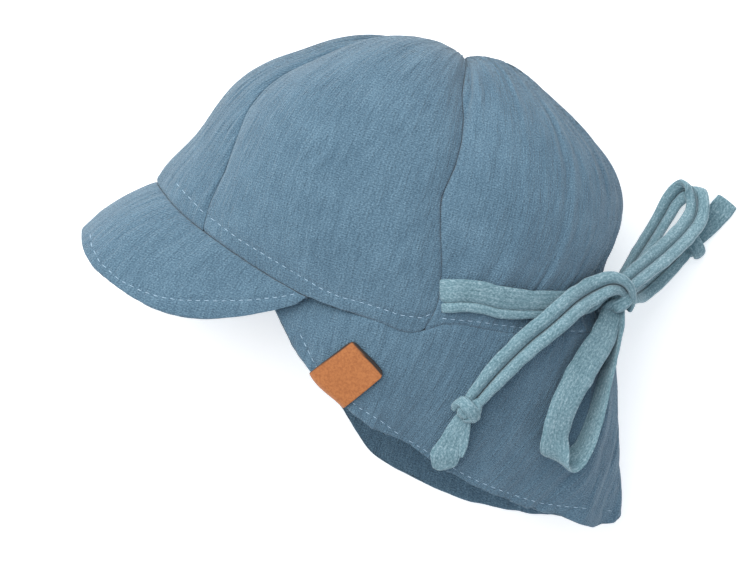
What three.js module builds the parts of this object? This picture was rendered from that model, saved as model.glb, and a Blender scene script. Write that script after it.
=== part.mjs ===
import * as THREE from "three";

// A child's sun hat of soft double gauze: a crown of five puffed panels, a peak, a neck flap
// and jersey ties that are knotted into a bow at the nape. It lies on its right side.
// The peak points along -X, the top of the crown along +Y, and the wearer's left side up, +Z.
// Lengths are in millimetres and turns in degrees about the crown's own axis: 0 is the
// forehead, 90 the left side, 180 the nape and 270 the right side, which lies on the table.

// Crown
const rimFront = 109; // from the crown's axis to the forehead
const rimBack = 92; // from the crown's axis to the nape
const crownHeight = 85; // from the rim at the forehead to the seams' meeting point
const crownAxisX = 6;
const halfDepth = 42; // half of the height at which the soft crown lies
const sideDrop = 31; // how far the rim dips over the ears
const panelPuff = 7; // how far a panel bulges out between its seams
const crownWall = 1.8;
const crownFlatness = 0.84; // below 1 the side on the table is flatter than an ellipse

// Peak and neck flap
const peakLength = 37;
const peakWall = 2.4;
const peakCrown = 2.5; // how far the peak arches between its seam and its edge
const peakEnd = 72; // turn at which the peak's edge runs into the rim
const flapLength = 80;
const flapWall = 1.8;
const flapBelly = 3; // how far the flap arches between the rim and its hem
const flapFront = 62; // turn at which the flap starts, under the peak's end
const flapFold = 3.2; // depth of the flap's soft folds at its hem
const tuckClimb = 0.4; // section of the crown up to which peak and flap reach inside it

// Ties
const tieWidth = 12.5;
const tieThickness = 2;
const tieAtSeam = 13; // from the rim up to the middle of the tie at the side seam
const tieAtNape = 12; // from the rim up to the middle of the tie at the nape
const cinchDepth = 2.6; // how far the tie pulls the back of the crown in
const cinchSpread = 7; // half of the width of that hollow
const bowKnotSize = { across: 12.5, along: 11, deep: 12 };
const bowKnotHeight = 1.19; // over the table, as a share of halfDepth
const steepestFall = 1.5; // of a loose tie past an edge: drop over distance
const endKnotSize = 11.2;
const lowerLoopLength = 75; // from the bow's knot to the end of the loop that hangs down
const upperLoopLength = 55;
const leftTailLength = 105; // from the bow's knot past the end knot to the tie's end
const rightTailLength = 60;

// Label folded over the flap's hem
const labelWidth = 21.5;
const labelLength = 22;
const leather = 1.2;
const labelTurn = 87.5;

// Clearances between separate pieces
const seamGap = 0.35;
const layerGap = 0.4;
const tuckGap = 0.6; // between the crown and what is tucked inside it
const restGap = 0.4; // between a loose tie and what it lies on
const labelGap = 0.6;
const bandGap = 0.8; // between the tie and the crown that it's drawn round
const knotGap = 0.15; // between a knot and the strands that come out of it

// Cross-sections of the crown from the rim up. Lengths are shares of crownHeight, rimFront,
// rimBack, halfDepth and panelPuff; fore and aft are the turns of the side panel's seams.
const crownSections = [
  { height: 0, front: 1, back: 1, upper: 0.98, lower: 1, puff: 0, fore: 40, aft: 101 },
  { height: 0.1, front: 0.964, back: 0.945, upper: 1.03, lower: 1.02, puff: 0.25, fore: 37, aft: 103 },
  { height: 0.28, front: 0.88, back: 0.905, upper: 1.07, lower: 1.03, puff: 0.6, fore: 32, aft: 101 },
  { height: 0.5, front: 0.82, back: 0.895, upper: 1.03, lower: 1.01, puff: 0.8, fore: 26, aft: 95.5 },
  { height: 0.66, front: 0.735, back: 0.815, upper: 0.91, lower: 0.94, puff: 1, fore: 23, aft: 98 },
  { height: 0.78, front: 0.595, back: 0.65, upper: 0.78, lower: 0.83, puff: 1.15, fore: 21, aft: 98 },
  { height: 0.88, front: 0.495, back: 0.445, upper: 0.61, lower: 0.67, puff: 1.2, fore: 21, aft: 95.5 },
  { height: 0.96, front: 0.37, back: 0.29, upper: 0.41, lower: 0.46, puff: 1.15, fore: 23, aft: 96 },
  { height: 1, front: 0.215, back: 0.15, upper: 0.2, lower: 0.23, puff: 0.7, fore: 29, aft: 97 },
  { height: 1, front: 0.014, back: 0.016, upper: 0.035, lower: 0.035, puff: 0, fore: 36, aft: 99 },
];

// The rim's dip around one side, as a share of sideDrop. The step near the side seam is
// where the tie is sewn in and the casing behind it pulls the rim up.
const rimDips = [
  { turn: 0, dip: 0 },
  { turn: 14, dip: 0.11 },
  { turn: 30, dip: 0.345 },
  { turn: 46, dip: 0.575 },
  { turn: 60, dip: 0.79 },
  { turn: 75, dip: 0.965 },
  { turn: 89, dip: 0.98 },
  { turn: 96, dip: 1.02 },
  { turn: 101, dip: 0.92 },
  { turn: 106, dip: 0.745 },
  { turn: 112, dip: 0.675 },
  { turn: 120, dip: 0.65 },
  { turn: 130, dip: 0.565 },
  { turn: 148, dip: 0.38 },
  { turn: 180, dip: 0.03 },
];

// The five panels between their seams. puff is a share of the section's puff.
const crownPanels = [
  { name: "left_side_panel", from: "fore", to: "aft", side: 1, puff: 1 },
  { name: "left_back_panel", from: "aft", to: "back", side: 1, puff: 1 },
  { name: "right_back_panel", from: "aft", to: "back", side: -1, puff: 1 },
  { name: "right_side_panel", from: "fore", to: "aft", side: -1, puff: 0.9 },
  { name: "front_panel", from: "fore", to: "fore", side: 0, puff: 0.4 },
];

// The peak's outer edge, from the rim at the same turn: forward and drop are shares of
// peakLength, rise is a height above the table in shares of halfDepth.
const peakEdge = [
  { turn: -72, forward: 0.08, drop: 0.11, rise: 0.08 },
  { turn: -67, forward: 0.25, drop: 0.42, rise: 0.09 },
  { turn: -60, forward: 0.39, drop: 0.66, rise: 0.12 },
  { turn: -50, forward: 0.5, drop: 0.84, rise: 0.18 },
  { turn: -40, forward: 0.57, drop: 0.9, rise: 0.28 },
  { turn: -30, forward: 0.62, drop: 0.9, rise: 0.42 },
  { turn: -15, forward: 0.7, drop: 0.85, rise: 0.67 },
  { turn: 0, forward: 0.61, drop: 0.73, rise: 1.0 },
  { turn: 15, forward: 0.7, drop: 0.87, rise: 1.33 },
  { turn: 30, forward: 0.63, drop: 0.95, rise: 1.6 },
  { turn: 40, forward: 0.58, drop: 0.95, rise: 1.71 },
  { turn: 50, forward: 0.51, drop: 0.89, rise: 1.81 },
  { turn: 60, forward: 0.39, drop: 0.69, rise: 1.87 },
  { turn: 67, forward: 0.25, drop: 0.43, rise: 1.89 },
  { turn: 72, forward: 0.08, drop: 0.11, rise: 1.9 },
];

// The flap's hem, from the rim at the same turn: back and drop are shares of flapLength,
// rise is a height above the table in shares of halfDepth.
const flapHem = [
  { turn: 62, back: -0.01, drop: 0.06, rise: 1.7 },
  { turn: 70, back: -0.055, drop: 0.16, rise: 1.75 },
  { turn: 78, back: -0.095, drop: 0.285, rise: 1.77 },
  { turn: 86, back: -0.12, drop: 0.41, rise: 1.76 },
  { turn: 95, back: -0.1, drop: 0.495, rise: 1.73 },
  { turn: 105, back: -0.05, drop: 0.64, rise: 1.65 },
  { turn: 115, back: 0.02, drop: 0.76, rise: 1.52 },
  { turn: 126, back: 0.08, drop: 0.84, rise: 1.35 },
  { turn: 139, back: 0.13, drop: 0.91, rise: 1.13 },
  { turn: 154, back: 0.2, drop: 0.965, rise: 0.88 },
  { turn: 168, back: 0.285, drop: 1.03, rise: 0.66 },
  { turn: 180, back: 0.34, drop: 0.99, rise: 0.42 },
  { turn: 192, back: 0.28, drop: 0.985, rise: 0.16 },
  { turn: 206, back: 0.2, drop: 0.945, rise: 0.02 },
  { turn: 221, back: 0.12, drop: 0.94, rise: 0 },
  { turn: 234, back: 0.07, drop: 0.915, rise: 0 },
  { turn: 245, back: 0, drop: 0.88, rise: 0 },
  { turn: 255, back: -0.07, drop: 0.79, rise: 0.01 },
  { turn: 265, back: -0.1, drop: 0.55, rise: 0.03 },
  { turn: 274, back: -0.12, drop: 0.41, rise: 0.1 },
  { turn: 282, back: -0.1, drop: 0.3, rise: 0.2 },
  { turn: 290, back: -0.06, drop: 0.17, rise: 0.29 },
  { turn: 298, back: -0.01, drop: 0.06, rise: 0.33 },
];

// Soft folds that run down the flap: depth is a share of flapFold, and below 0 is a hollow.
const flapFolds = [
  { turn: 112, spread: 7, depth: -0.35 },
  { turn: 128, spread: 7, depth: 0.3 },
  { turn: 146, spread: 6, depth: -0.6 },
  { turn: 158, spread: 6, depth: 0.8 },
  { turn: 170, spread: 5, depth: -0.9 },
  { turn: 181, spread: 6, depth: 0.8 },
];

// The tie's width round the back of the crown, as a share of tieWidth.
const tieBands = [
  { turn: 104.5, wide: 1.12 },
  { turn: 112, wide: 1.12 },
  { turn: 121, wide: 1.08 },
  { turn: 132, wide: 1.02 },
  { turn: 144, wide: 0.95 },
  { turn: 156, wide: 0.88 },
  { turn: 168, wide: 0.82 },
  { turn: 177, wide: 0.76 },
];

// Routes of the bow's strands, chosen by hand. back and up lead from the bow's knot to the
// middle of the strip, in shares of the strand's length. height is a share of the knot's
// height over the table, or lift is a share of tieThickness over what the strip lies on.
// heading is the direction of its width in plan, tilt is how far that edge is raised, and
// wide is a share of tieWidth.
const lowerLoopRoute = [
  { back: 0.019, up: -0.059, height: 1.03, heading: 180, tilt: 10, wide: 0.6 },
  { back: 0.011, up: -0.152, lift: 0.7, heading: 178, tilt: 30, wide: 0.78 },
  { back: -0.001, up: -0.288, lift: 0.8, heading: 174, tilt: 28, wide: 0.95 },
  { back: -0.025, up: -0.413, lift: 1.2, heading: 172, tilt: 18, wide: 1 },
  { back: -0.051, up: -0.535, lift: 1.6, heading: 172, tilt: 12, wide: 1 },
  { back: -0.076, up: -0.663, lift: 2.1, heading: 174, tilt: 8, wide: 0.98 },
  { back: -0.087, up: -0.783, lift: 2.6, heading: 176, tilt: 4, wide: 0.96 },
  { back: -0.085, up: -0.899, lift: 2.8, heading: 174, tilt: 2, wide: 0.96 },
  { back: -0.059, up: -0.976, lift: 2.5, heading: 170, tilt: 6, wide: 1 },
  { back: -0.008, up: -0.997, lift: 1.5, heading: 166, tilt: 16, wide: 1.02 },
  { back: 0.045, up: -0.96, lift: 0.7, heading: 166, tilt: 26, wide: 1 },
  { back: 0.072, up: -0.877, lift: 0.5, heading: 172, tilt: 34, wide: 0.98 },
  { back: 0.072, up: -0.771, lift: 0.4, heading: 176, tilt: 38, wide: 0.96 },
  { back: 0.063, up: -0.64, lift: 0.4, heading: 180, tilt: 40, wide: 0.94 },
  { back: 0.061, up: -0.507, lift: 0.4, heading: 182, tilt: 42, wide: 0.9 },
  { back: 0.069, up: -0.376, lift: 0.4, heading: 184, tilt: 46, wide: 0.84 },
  { back: 0.075, up: -0.237, height: 0.99, heading: 184, tilt: 50, wide: 0.74 },
  { back: 0.056, up: -0.109, height: 1, heading: 184, tilt: 50, wide: 0.6 },
  { back: 0.032, up: -0.045, height: 0.98, heading: 180, tilt: 45, wide: 0.42 },
];
const leftTailRoute = [
  { back: -0.004, up: 0.025, height: 1.156, heading: -68, tilt: 20, wide: 0.75 },
  { back: -0.034, up: 0.015, height: 1.23, heading: -68, tilt: 12, wide: 0.85 },
  { back: -0.075, up: -0.017, lift: 0.3, heading: -58, tilt: 6, wide: 0.95 },
  { back: -0.13, up: -0.07, lift: 0.4, heading: -48, tilt: 0, wide: 1 },
  { back: -0.177, up: -0.145, lift: 0.3, heading: -35, tilt: 0, wide: 1.02 },
  { back: -0.223, up: -0.217, lift: 0.25, heading: -32, tilt: 0, wide: 1 },
  { back: -0.277, up: -0.297, lift: 0.25, heading: -31, tilt: 0, wide: 0.96 },
  { back: -0.33, up: -0.389, lift: 0.25, heading: -30, tilt: 0, wide: 0.92 },
  { back: -0.375, up: -0.48, lift: 0.3, heading: -28, tilt: 0, wide: 0.85 },
  { back: -0.408, up: -0.556, lift: 0.5, heading: -25, tilt: 0, wide: 0.7 },
  { back: -0.432, up: -0.611, lift: 1.1, heading: -22, tilt: 0, wide: 0.45 },
];
const leftTipRoute = [
  { back: -0.444, up: -0.641, lift: 0.75, heading: -8, tilt: 0, wide: 0.42 },
  { back: -0.453, up: -0.703, lift: 0.2, heading: -6, tilt: 0, wide: 0.58 },
  { back: -0.463, up: -0.779, lift: 0, heading: -6, tilt: 0, wide: 0.82 },
  { back: -0.467, up: -0.842, lift: 0, heading: -4, tilt: 0, wide: 0.92 },
  { back: -0.47, up: -0.893, lift: 0, heading: 2, tilt: 0, wide: 0.5 },
];
const upperLoopRoute = [
  { back: 0.04, up: 0.036, height: 1.06, heading: 161, tilt: -8, wide: 0.6 },
  { back: 0.084, up: 0.113, height: 1, heading: 161, tilt: -14, wide: 0.75 },
  { back: 0.164, up: 0.229, height: 0.85, heading: 150, tilt: -24, wide: 0.86 },
  { back: 0.258, up: 0.367, height: 0.68, heading: 153, tilt: -28, wide: 0.9 },
  { back: 0.345, up: 0.516, height: 0.5, heading: 156, tilt: -28, wide: 0.9 },
  { back: 0.407, up: 0.658, height: 0.34, heading: 162, tilt: -26, wide: 0.88 },
  { back: 0.418, up: 0.775, height: 0.232, heading: 170, tilt: -18, wide: 0.84 },
  { back: 0.374, up: 0.88, height: 0.164, heading: 174, tilt: -8, wide: 0.82 },
  { back: 0.3, up: 0.905, height: 0.104, heading: 172, tilt: -6, wide: 0.82 },
  { back: 0.222, up: 0.79, height: 0.096, heading: 166, tilt: -22, wide: 0.8 },
  { back: 0.18, up: 0.625, height: 0.17, heading: 160, tilt: -32, wide: 0.8 },
  { back: 0.145, up: 0.484, height: 0.3, heading: 158, tilt: -36, wide: 0.78 },
  { back: 0.1, up: 0.338, height: 0.48, heading: 158, tilt: -38, wide: 0.74 },
  { back: 0.055, up: 0.184, height: 0.7, heading: 160, tilt: -40, wide: 0.62 },
  { back: 0.026, up: 0.07, height: 0.91, heading: 164, tilt: -34, wide: 0.46 },
];
const rightTailRoute = [
  { back: 0.065, up: 0.003, height: 0.96, heading: 120, tilt: -10, wide: 0.42 },
  { back: 0.118, up: 0.01, height: 0.81, heading: 116, tilt: -14, wide: 0.62 },
  { back: 0.165, up: 0.045, height: 0.58, heading: 134, tilt: -16, wide: 0.76 },
  { back: 0.232, up: 0.135, height: 0.41, heading: 144, tilt: -14, wide: 0.78 },
  { back: 0.298, up: 0.243, height: 0.27, heading: 150, tilt: -10, wide: 0.72 },
  { back: 0.352, up: 0.345, height: 0.17, heading: 154, tilt: -4, wide: 0.58 },
  { back: 0.393, up: 0.42, height: 0.12, heading: 156, tilt: 0, wide: 0.42 },
];
const rightTipRoute = [
  { back: 0.425, up: 0.475, height: 0.096, heading: 166, tilt: 0, wide: 0.45 },
  { back: 0.47, up: 0.57, height: 0.06, heading: 162, tilt: 0, wide: 0.62 },
  { back: 0.52, up: 0.69, height: 0.036, heading: 160, tilt: 0, wide: 0.78 },
  { back: 0.575, up: 0.83, height: 0.03, heading: 158, tilt: 0, wide: 0.8 },
];
const leftEndKnotRoute = [{ back: -0.44, up: -0.628, lift: 0.2 }];
const rightEndKnotRoute = [{ back: 0.405, up: 0.448, height: 0.108 }];

// A smooth value from a table's column, with no overshoot between its rows.
function readTable(rows, keyOf, column, at) {
  const keys = rows.map(keyOf);
  const values = rows.map((row) => row[column]);
  const last = rows.length - 1;
  if (at <= keys[0]) return values[0];
  if (at >= keys[last]) return values[last];
  const slopes = keys.slice(1).map((key, i) => (values[i + 1] - values[i]) / (key - keys[i]));
  const tangentAt = (i) => {
    if (i === 0) return slopes[0];
    if (i === last) return slopes[last - 1];
    const product = slopes[i - 1] * slopes[i];
    return product <= 0 ? 0 : (2 * product) / (slopes[i - 1] + slopes[i]);
  };
  const i = Math.max(0, keys.findIndex((key) => key > at) - 1);
  const span = keys[i + 1] - keys[i];
  const s = (at - keys[i]) / span;
  const [start, end] = [values[i], values[i + 1]];
  const [out, into] = [tangentAt(i) * span, tangentAt(i + 1) * span];
  const rise = 3 * (end - start) - 2 * out - into;
  const settle = out + into - 2 * (end - start);
  return start + out * s + rise * s * s + settle * s * s * s;
}

const byTurn = (row) => row.turn;
const bySection = (row) => crownSections.indexOf(row);
const section = (column, climb) => readTable(crownSections, bySection, column, climb);
const radians = THREE.MathUtils.degToRad;
const foldedTurn = (turn) => Math.abs(((((turn + 180) % 360) + 360) % 360) - 180);
const topClimb = crownSections.length - 1;

// The crown without its puffs. climb counts the sections from the rim up.
function crownBase(turn, climb) {
  const forward = Math.cos(radians(turn));
  const upward = Math.sin(radians(turn));
  const reach = forward > 0 ? rimFront * section("front", climb) : rimBack * section("back", climb);
  const depth = halfDepth * section(upward > 0 ? "upper" : "lower", climb);
  const roundness = upward > 0 ? 1 : crownFlatness;
  const z = halfDepth + Math.sign(upward) * depth * Math.abs(upward) ** roundness;
  const rimY = -sideDrop * readTable(rimDips, byTurn, "dip", foldedTurn(turn));
  const y = rimY + section("height", climb) * (crownHeight - rimY);
  return new THREE.Vector3(crownAxisX - reach * forward, y, Math.max(z, 0));
}

function crownNormal(turn, climb) {
  const step = 0.02;
  const around = crownBase(turn + 1, climb).sub(crownBase(turn - 1, climb));
  const low = Math.max(climb - step, 0);
  const high = Math.min(climb + step, topClimb);
  const up = crownBase(turn, high).sub(crownBase(turn, low));
  return around.cross(up).normalize();
}

// Height of the tie's middle over the rim.
function tieHeight(turn) {
  const back = (foldedTurn(turn) - 104) / (180 - 104);
  return THREE.MathUtils.lerp(tieAtSeam, tieAtNape, THREE.MathUtils.clamp(back, 0, 1));
}

function seamTurns(panel, climb) {
  const turnOf = (seam) => (seam === "back" ? 180 : section(seam, climb));
  const [from, to] = [turnOf(panel.from), turnOf(panel.to)];
  if (panel.side === 0) return [-from, to];
  return panel.side > 0 ? [from, to] : [360 - to, 360 - from];
}

// A point of a crown panel: share runs from one of its seams to the other, and depth is
// measured into the hat from the outer face.
function panelPoint(panel, share, climb, depth) {
  const [from, to] = seamTurns(panel, climb);
  const turn = THREE.MathUtils.lerp(from, to, share);
  const point = crownBase(turn, climb);
  const pillow = Math.max(4 * share * (1 - share), 0) ** 0.7;
  const puff = panelPuff * panel.puff * section("puff", climb) * pillow;
  const aside = Math.abs(point.y - crownBase(turn, 0).y - tieHeight(turn)) / cinchSpread;
  const near = 1 - THREE.MathUtils.smoothstep(aside, 1.15, 1.85);
  const pulledIn = near * THREE.MathUtils.smoothstep(foldedTurn(turn), 104, 150);
  point.addScaledVector(crownNormal(turn, climb), puff * (1 - 0.6 * pulledIn) - depth);
  point.addScaledVector(crownNormal(turn, climb), -cinchDepth * pulledIn);
  const hollow = near * THREE.MathUtils.smoothstep(foldedTurn(turn), 86, 98);
  const onTable = turn > 180 || turn < 0;
  if (onTable) point.z = Math.max(point.z, depth + hollow * (tieThickness + restGap + bandGap));
  return point;
}

// The same, by the turn about the crown's axis.
function crownPoint(turn, climb, depth) {
  const around = ((turn % 360) + 360) % 360;
  for (const panel of crownPanels) {
    const [from, to] = seamTurns(panel, climb);
    const at = panel.side === 0 && around > 180 ? around - 360 : around;
    if (at >= from && at <= to) return panelPoint(panel, (at - from) / (to - from), climb, depth);
  }
  return crownBase(turn, climb).addScaledVector(crownNormal(turn, climb), -depth);
}

// A closed wall from two grids of points, its outer and its inner face.
function wallBetween(outer, inner) {
  const rows = outer.length;
  const columns = outer[0].length;
  const positions = [...outer.flat(), ...inner.flat()].flatMap((p) => [p.x, p.y, p.z]);
  const out = (row, column) => row * columns + column;
  const into = (row, column) => rows * columns + out(row, column);
  const faces = [];
  const quad = (a, b, c, d) => faces.push(a, b, c, a, c, d);
  for (let r = 0; r < rows - 1; r++) {
    for (let c = 0; c < columns - 1; c++) {
      quad(out(r, c), out(r, c + 1), out(r + 1, c + 1), out(r + 1, c));
      quad(into(r, c), into(r + 1, c), into(r + 1, c + 1), into(r, c + 1));
    }
    quad(out(r, 0), out(r + 1, 0), into(r + 1, 0), into(r, 0));
    quad(out(r, columns - 1), into(r, columns - 1), into(r + 1, columns - 1), out(r + 1, columns - 1));
  }
  for (let c = 0; c < columns - 1; c++) {
    quad(out(0, c), into(0, c), into(0, c + 1), out(0, c + 1));
    quad(out(rows - 1, c), out(rows - 1, c + 1), into(rows - 1, c + 1), into(rows - 1, c));
  }
  const geometry = new THREE.BufferGeometry();
  geometry.setAttribute("position", new THREE.Float32BufferAttribute(positions, 3));
  geometry.setIndex(faces);
  return geometry;
}

const gridOf = (rows, columns, pointAt) => rows.map((row) => columns.map((column) => pointAt(row, column)));
const spacedFrom = (first, last, count) =>
  Array.from({ length: count }, (_, i) => THREE.MathUtils.lerp(first, last, i / (count - 1)));

// Crown panel: rows from the rim to the top, columns from seam to seam.
const panelClimbs = [0, tuckClimb, 0.75, 1.1, 1.5, 1.8, 2.4, 3, 3.7, 4.4, 5.2, 6, 7, 8, topClimb];
const panelShares = [0, 0.05, 0.11, 0.19, 0.28, 0.39, 0.5, 0.61, 0.72, 0.81, 0.89, 0.95, 1];

function crownPanelGeometry(panel) {
  const face = (depth) =>
    gridOf(panelClimbs, panelShares, (climb, share) => {
      const across = panelPoint(panel, 0, climb, 0).distanceTo(panelPoint(panel, 1, climb, 0));
      const inset = seamGap / 2 / across;
      return panelPoint(panel, inset + share * (1 - 2 * inset), climb, depth);
    });
  return wallBetween(face(0), face(crownWall));
}

// Turns from first to last at which the panels' edges have their corners at the rim.
function rimTurns(first, last) {
  const corners = crownPanels.flatMap((panel) => {
    const [from, to] = seamTurns(panel, 0);
    return panelShares.flatMap((share) => {
      const turn = THREE.MathUtils.lerp(from, to, share);
      return [turn, turn - 360];
    });
  });
  const inside = corners.filter((turn) => turn > first + 1 && turn < last - 1).sort((a, b) => a - b);
  const apart = inside.filter((turn, i) => i === 0 || turn - inside[i - 1] > 0.1);
  return [first, ...apart, last];
}

// Wall of a sheet that is sewn under the crown's edge: its strip inside the crown lies
// seatDepth deep, and below the rim it comes out to rimDepth and runs on as its leaf.
function sewnSheet({ turns, shares, wall, seatDepth, leaf }) {
  const stripPoint = (turn, climb, depth) => crownPoint(turn, climb, seatDepth(turn) + depth);
  // The inner face turns the corner under the crown's edge lower than the outer one.
  const corner = (depth) => (depth > 0 ? wall / 2 : 0);
  const lowerPoint = (turn, depth) => {
    const point = stripPoint(turn, 0, depth);
    point.y -= layerGap + corner(depth);
    return point;
  };
  const leafPoint = (turn, share, depth) => {
    const around = leaf(turn + 0.5, share).sub(leaf(turn - 0.5, share));
    const up = leaf(turn, share - 0.01).sub(leaf(turn, share + 0.01));
    const point = leaf(turn, share).addScaledVector(around.cross(up).normalize(), -depth);
    point.y -= share > 0 ? 0 : corner(depth);
    return point;
  };
  const face = (depth) =>
    [
      ...gridOf([tuckClimb, 0], turns, (climb, turn) => stripPoint(turn, climb, depth)),
      turns.map((turn) => lowerPoint(turn, depth)),
      ...gridOf(shares, turns, (share, turn) => leafPoint(turn, share, depth)),
    ].reverse();
  return wallBetween(face(0), face(wall));
}

// Where a sheet's leaf starts, just below the crown's edge.
function rimStart(turn, depth) {
  const point = crownPoint(turn, 0, depth);
  point.y -= layerGap;
  return point;
}

// Peak: from the rim out to its own edge, arched a little.
function peakLeaf(turn, share) {
  const column = (name) => readTable(peakEdge, byTurn, name, turn);
  const edge = crownPoint(turn, 0, 0);
  edge.x -= peakLength * column("forward");
  edge.y -= peakLength * column("drop");
  edge.z = halfDepth * column("rise");
  const aside = THREE.MathUtils.smoothstep(Math.abs(turn), -60, 20);
  const arch = peakCrown * Math.sin(Math.PI * share) * aside * Math.cos(radians((turn * 90) / peakEnd));
  const point = rimStart(turn, 0).lerp(edge, share).addScaledVector(crownNormal(turn, 0), arch);
  point.z = Math.max(point.z, 0);
  return point;
}

function peakGeometry() {
  return sewnSheet({
    turns: rimTurns(-peakEnd, peakEnd),
    shares: spacedFrom(0, 1, 7),
    wall: peakWall,
    seatDepth: () => crownWall + tuckGap,
    leaf: peakLeaf,
  });
}

// Neck flap: level with the crown's edge, but inside the peak where the two lap.
const flapSeat = (turn) => crownWall + tuckGap + lapped(turn) * (peakWall + tuckGap);
const lapped = (turn) => 1 - THREE.MathUtils.smoothstep(foldedTurn(turn), peakEnd + 2, peakEnd + 16);

function flapLeaf(turn, share) {
  const column = (name) => readTable(flapHem, byTurn, name, turn);
  const hem = crownPoint(turn, 0, 0);
  hem.x += flapLength * column("back");
  hem.y -= flapLength * column("drop");
  hem.z = halfDepth * column("rise");
  const start = rimStart(turn, lapped(turn) * flapSeat(turn));
  start.y -= lapped(turn) * layerGap;
  const point = start.lerp(hem, share);
  const outward = new THREE.Vector3(-Math.cos(radians(turn)), 0, Math.sin(radians(turn)));
  const belly = turn < 180 ? flapBelly * column("drop") * Math.sin(Math.PI * Math.min(share, 1)) : 0;
  const foldAt = flapFolds
    .map((fold) => fold.depth * Math.exp(-(((turn - fold.turn) / fold.spread) ** 2)))
    .reduce((sum, depth) => sum + depth, 0);
  point.addScaledVector(outward, belly + flapFold * foldAt * Math.max(share, 0) ** 1.5);
  point.z = Math.max(point.z, 0);
  return point;
}

function flapGeometry() {
  return sewnSheet({
    turns: rimTurns(flapFront, 360 - flapFront),
    shares: spacedFrom(0, 1, 8),
    wall: flapWall,
    seatDepth: flapSeat,
    leaf: flapLeaf,
  });
}

// Label: a strip of leather folded round the flap's hem, square to it.
function labelGeometry() {
  const along = flapLeaf(labelTurn + 0.5, 1).sub(flapLeaf(labelTurn - 0.5, 1));
  const upwards = flapLeaf(labelTurn, 0.9).sub(flapLeaf(labelTurn, 1)).multiplyScalar(10);
  const slant = upwards.dot(along) / along.lengthSq();
  const rise = upwards.addScaledVector(along, -slant).length();
  const leaf = (aside, up, depth) => {
    const share = 1 - up / rise;
    const perDegree = flapLeaf(labelTurn + 0.5, share).distanceTo(flapLeaf(labelTurn - 0.5, share));
    const turn = labelTurn + aside / perDegree - (slant * up) / rise;
    const around = flapLeaf(turn + 0.5, share).sub(flapLeaf(turn - 0.5, share));
    const down = flapLeaf(turn, share + 0.01).sub(flapLeaf(turn, share - 0.01));
    return flapLeaf(turn, share).addScaledVector(down.cross(around).normalize(), depth);
  };
  const front = labelGap;
  const back = -flapWall - labelGap;
  const ups = spacedFrom(labelLength, 0, 6);
  const wrap = (thick) => [
    ...ups.map((up) => [up, front + thick]),
    [-labelGap - thick, (3 * front + back) / 4],
    [-labelGap - thick, (front + 3 * back) / 4],
    ...[...ups].reverse().map((up) => [up, back - thick]),
  ];
  const asides = spacedFrom(-labelWidth / 2, labelWidth / 2, 6);
  const face = (thick) =>
    gridOf(wrap(thick).reverse(), asides, ([up, depth], aside) => leaf(aside, up, depth));
  return wallBetween(face(leather), face(0));
}

// Cross-section of a folded jersey strip: two soft rolls with the fold's groove between them.
function tieSection(groove) {
  return [
    [-0.5, -0.15],
    [-0.43, -0.5],
    [0.43, -0.5],
    [0.5, -0.15],
    [0.5, 0.2],
    [0.42, 0.5],
    [groove + 0.09, 0.5],
    [groove, -0.05],
    [groove - 0.09, 0.5],
    [-0.42, 0.5],
    [-0.5, 0.2],
  ];
}

const rayFromAbove = new THREE.Raycaster();
const downward = new THREE.Vector3(0, 0, -1);

// Height of the highest face under a point, among the meshes given; 0 is the table.
function heightOver(meshes, x, y) {
  rayFromAbove.set(new THREE.Vector3(x, y, 4 * halfDepth), downward);
  const hit = rayFromAbove.intersectObjects(meshes)[0];
  return hit ? hit.point.z : 0;
}

// The bow's knot stands behind the nape, level with the tie.
const bowKnotPlace = new THREE.Vector3(
  crownAxisX + 0.98 * rimBack,
  crownBase(180, 0).y + tieAtNape,
  halfDepth * bowKnotHeight,
);

// A route's rows in millimetres. A row with a lift has no height of its own yet.
function placed(route, length) {
  return route.map((row) => ({
    ...row,
    x: bowKnotPlace.x + row.back * length,
    y: bowKnotPlace.y + row.up * length,
    z: row.height === undefined ? undefined : row.height * bowKnotPlace.z,
  }));
}

// Spots of a route: each stands on what is under it, or at its own height. Past an edge the
// strand bends down no steeper than its stiffness lets it.
function laidSpots(route, length, under) {
  const rows = placed(route, length);
  let last = null;
  return rows.map((row, i) => {
    const before = rows[Math.max(i - 1, 0)];
    const after = rows[Math.min(i + 1, rows.length - 1)];
    const along = new THREE.Vector2(after.x - before.x, after.y - before.y).normalize();
    const half = (tieWidth * row.wide) / 2;
    const [heading, tilt] = [radians(row.heading), radians(row.tilt)];
    const plan = new THREE.Vector2(Math.cos(heading), Math.sin(heading)).multiplyScalar(Math.cos(tilt));
    const seats = [-1, -0.5, 0, 0.5, 1].flatMap((side) =>
      [-2, 2].map((ahead) => {
        const x = row.x + plan.x * half * side + along.x * ahead;
        const y = row.y + plan.y * half * side + along.y * ahead;
        return heightOver(under, x, y) - side * half * Math.sin(tilt);
      }),
    );
    const lift = tieThickness * (row.lift + 0.5 / Math.cos(tilt));
    const resting = Math.max(...seats) + restGap + lift;
    const lowest = last ? last.z - steepestFall * Math.hypot(row.x - last.x, row.y - last.y) : 0;
    last = new THREE.Vector3(row.x, row.y, row.z ?? Math.max(resting, lowest));
    const across = new THREE.Vector3(plan.x, plan.y, Math.sin(tilt));
    return { place: last, across, width: tieWidth * row.wide };
  });
}

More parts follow.
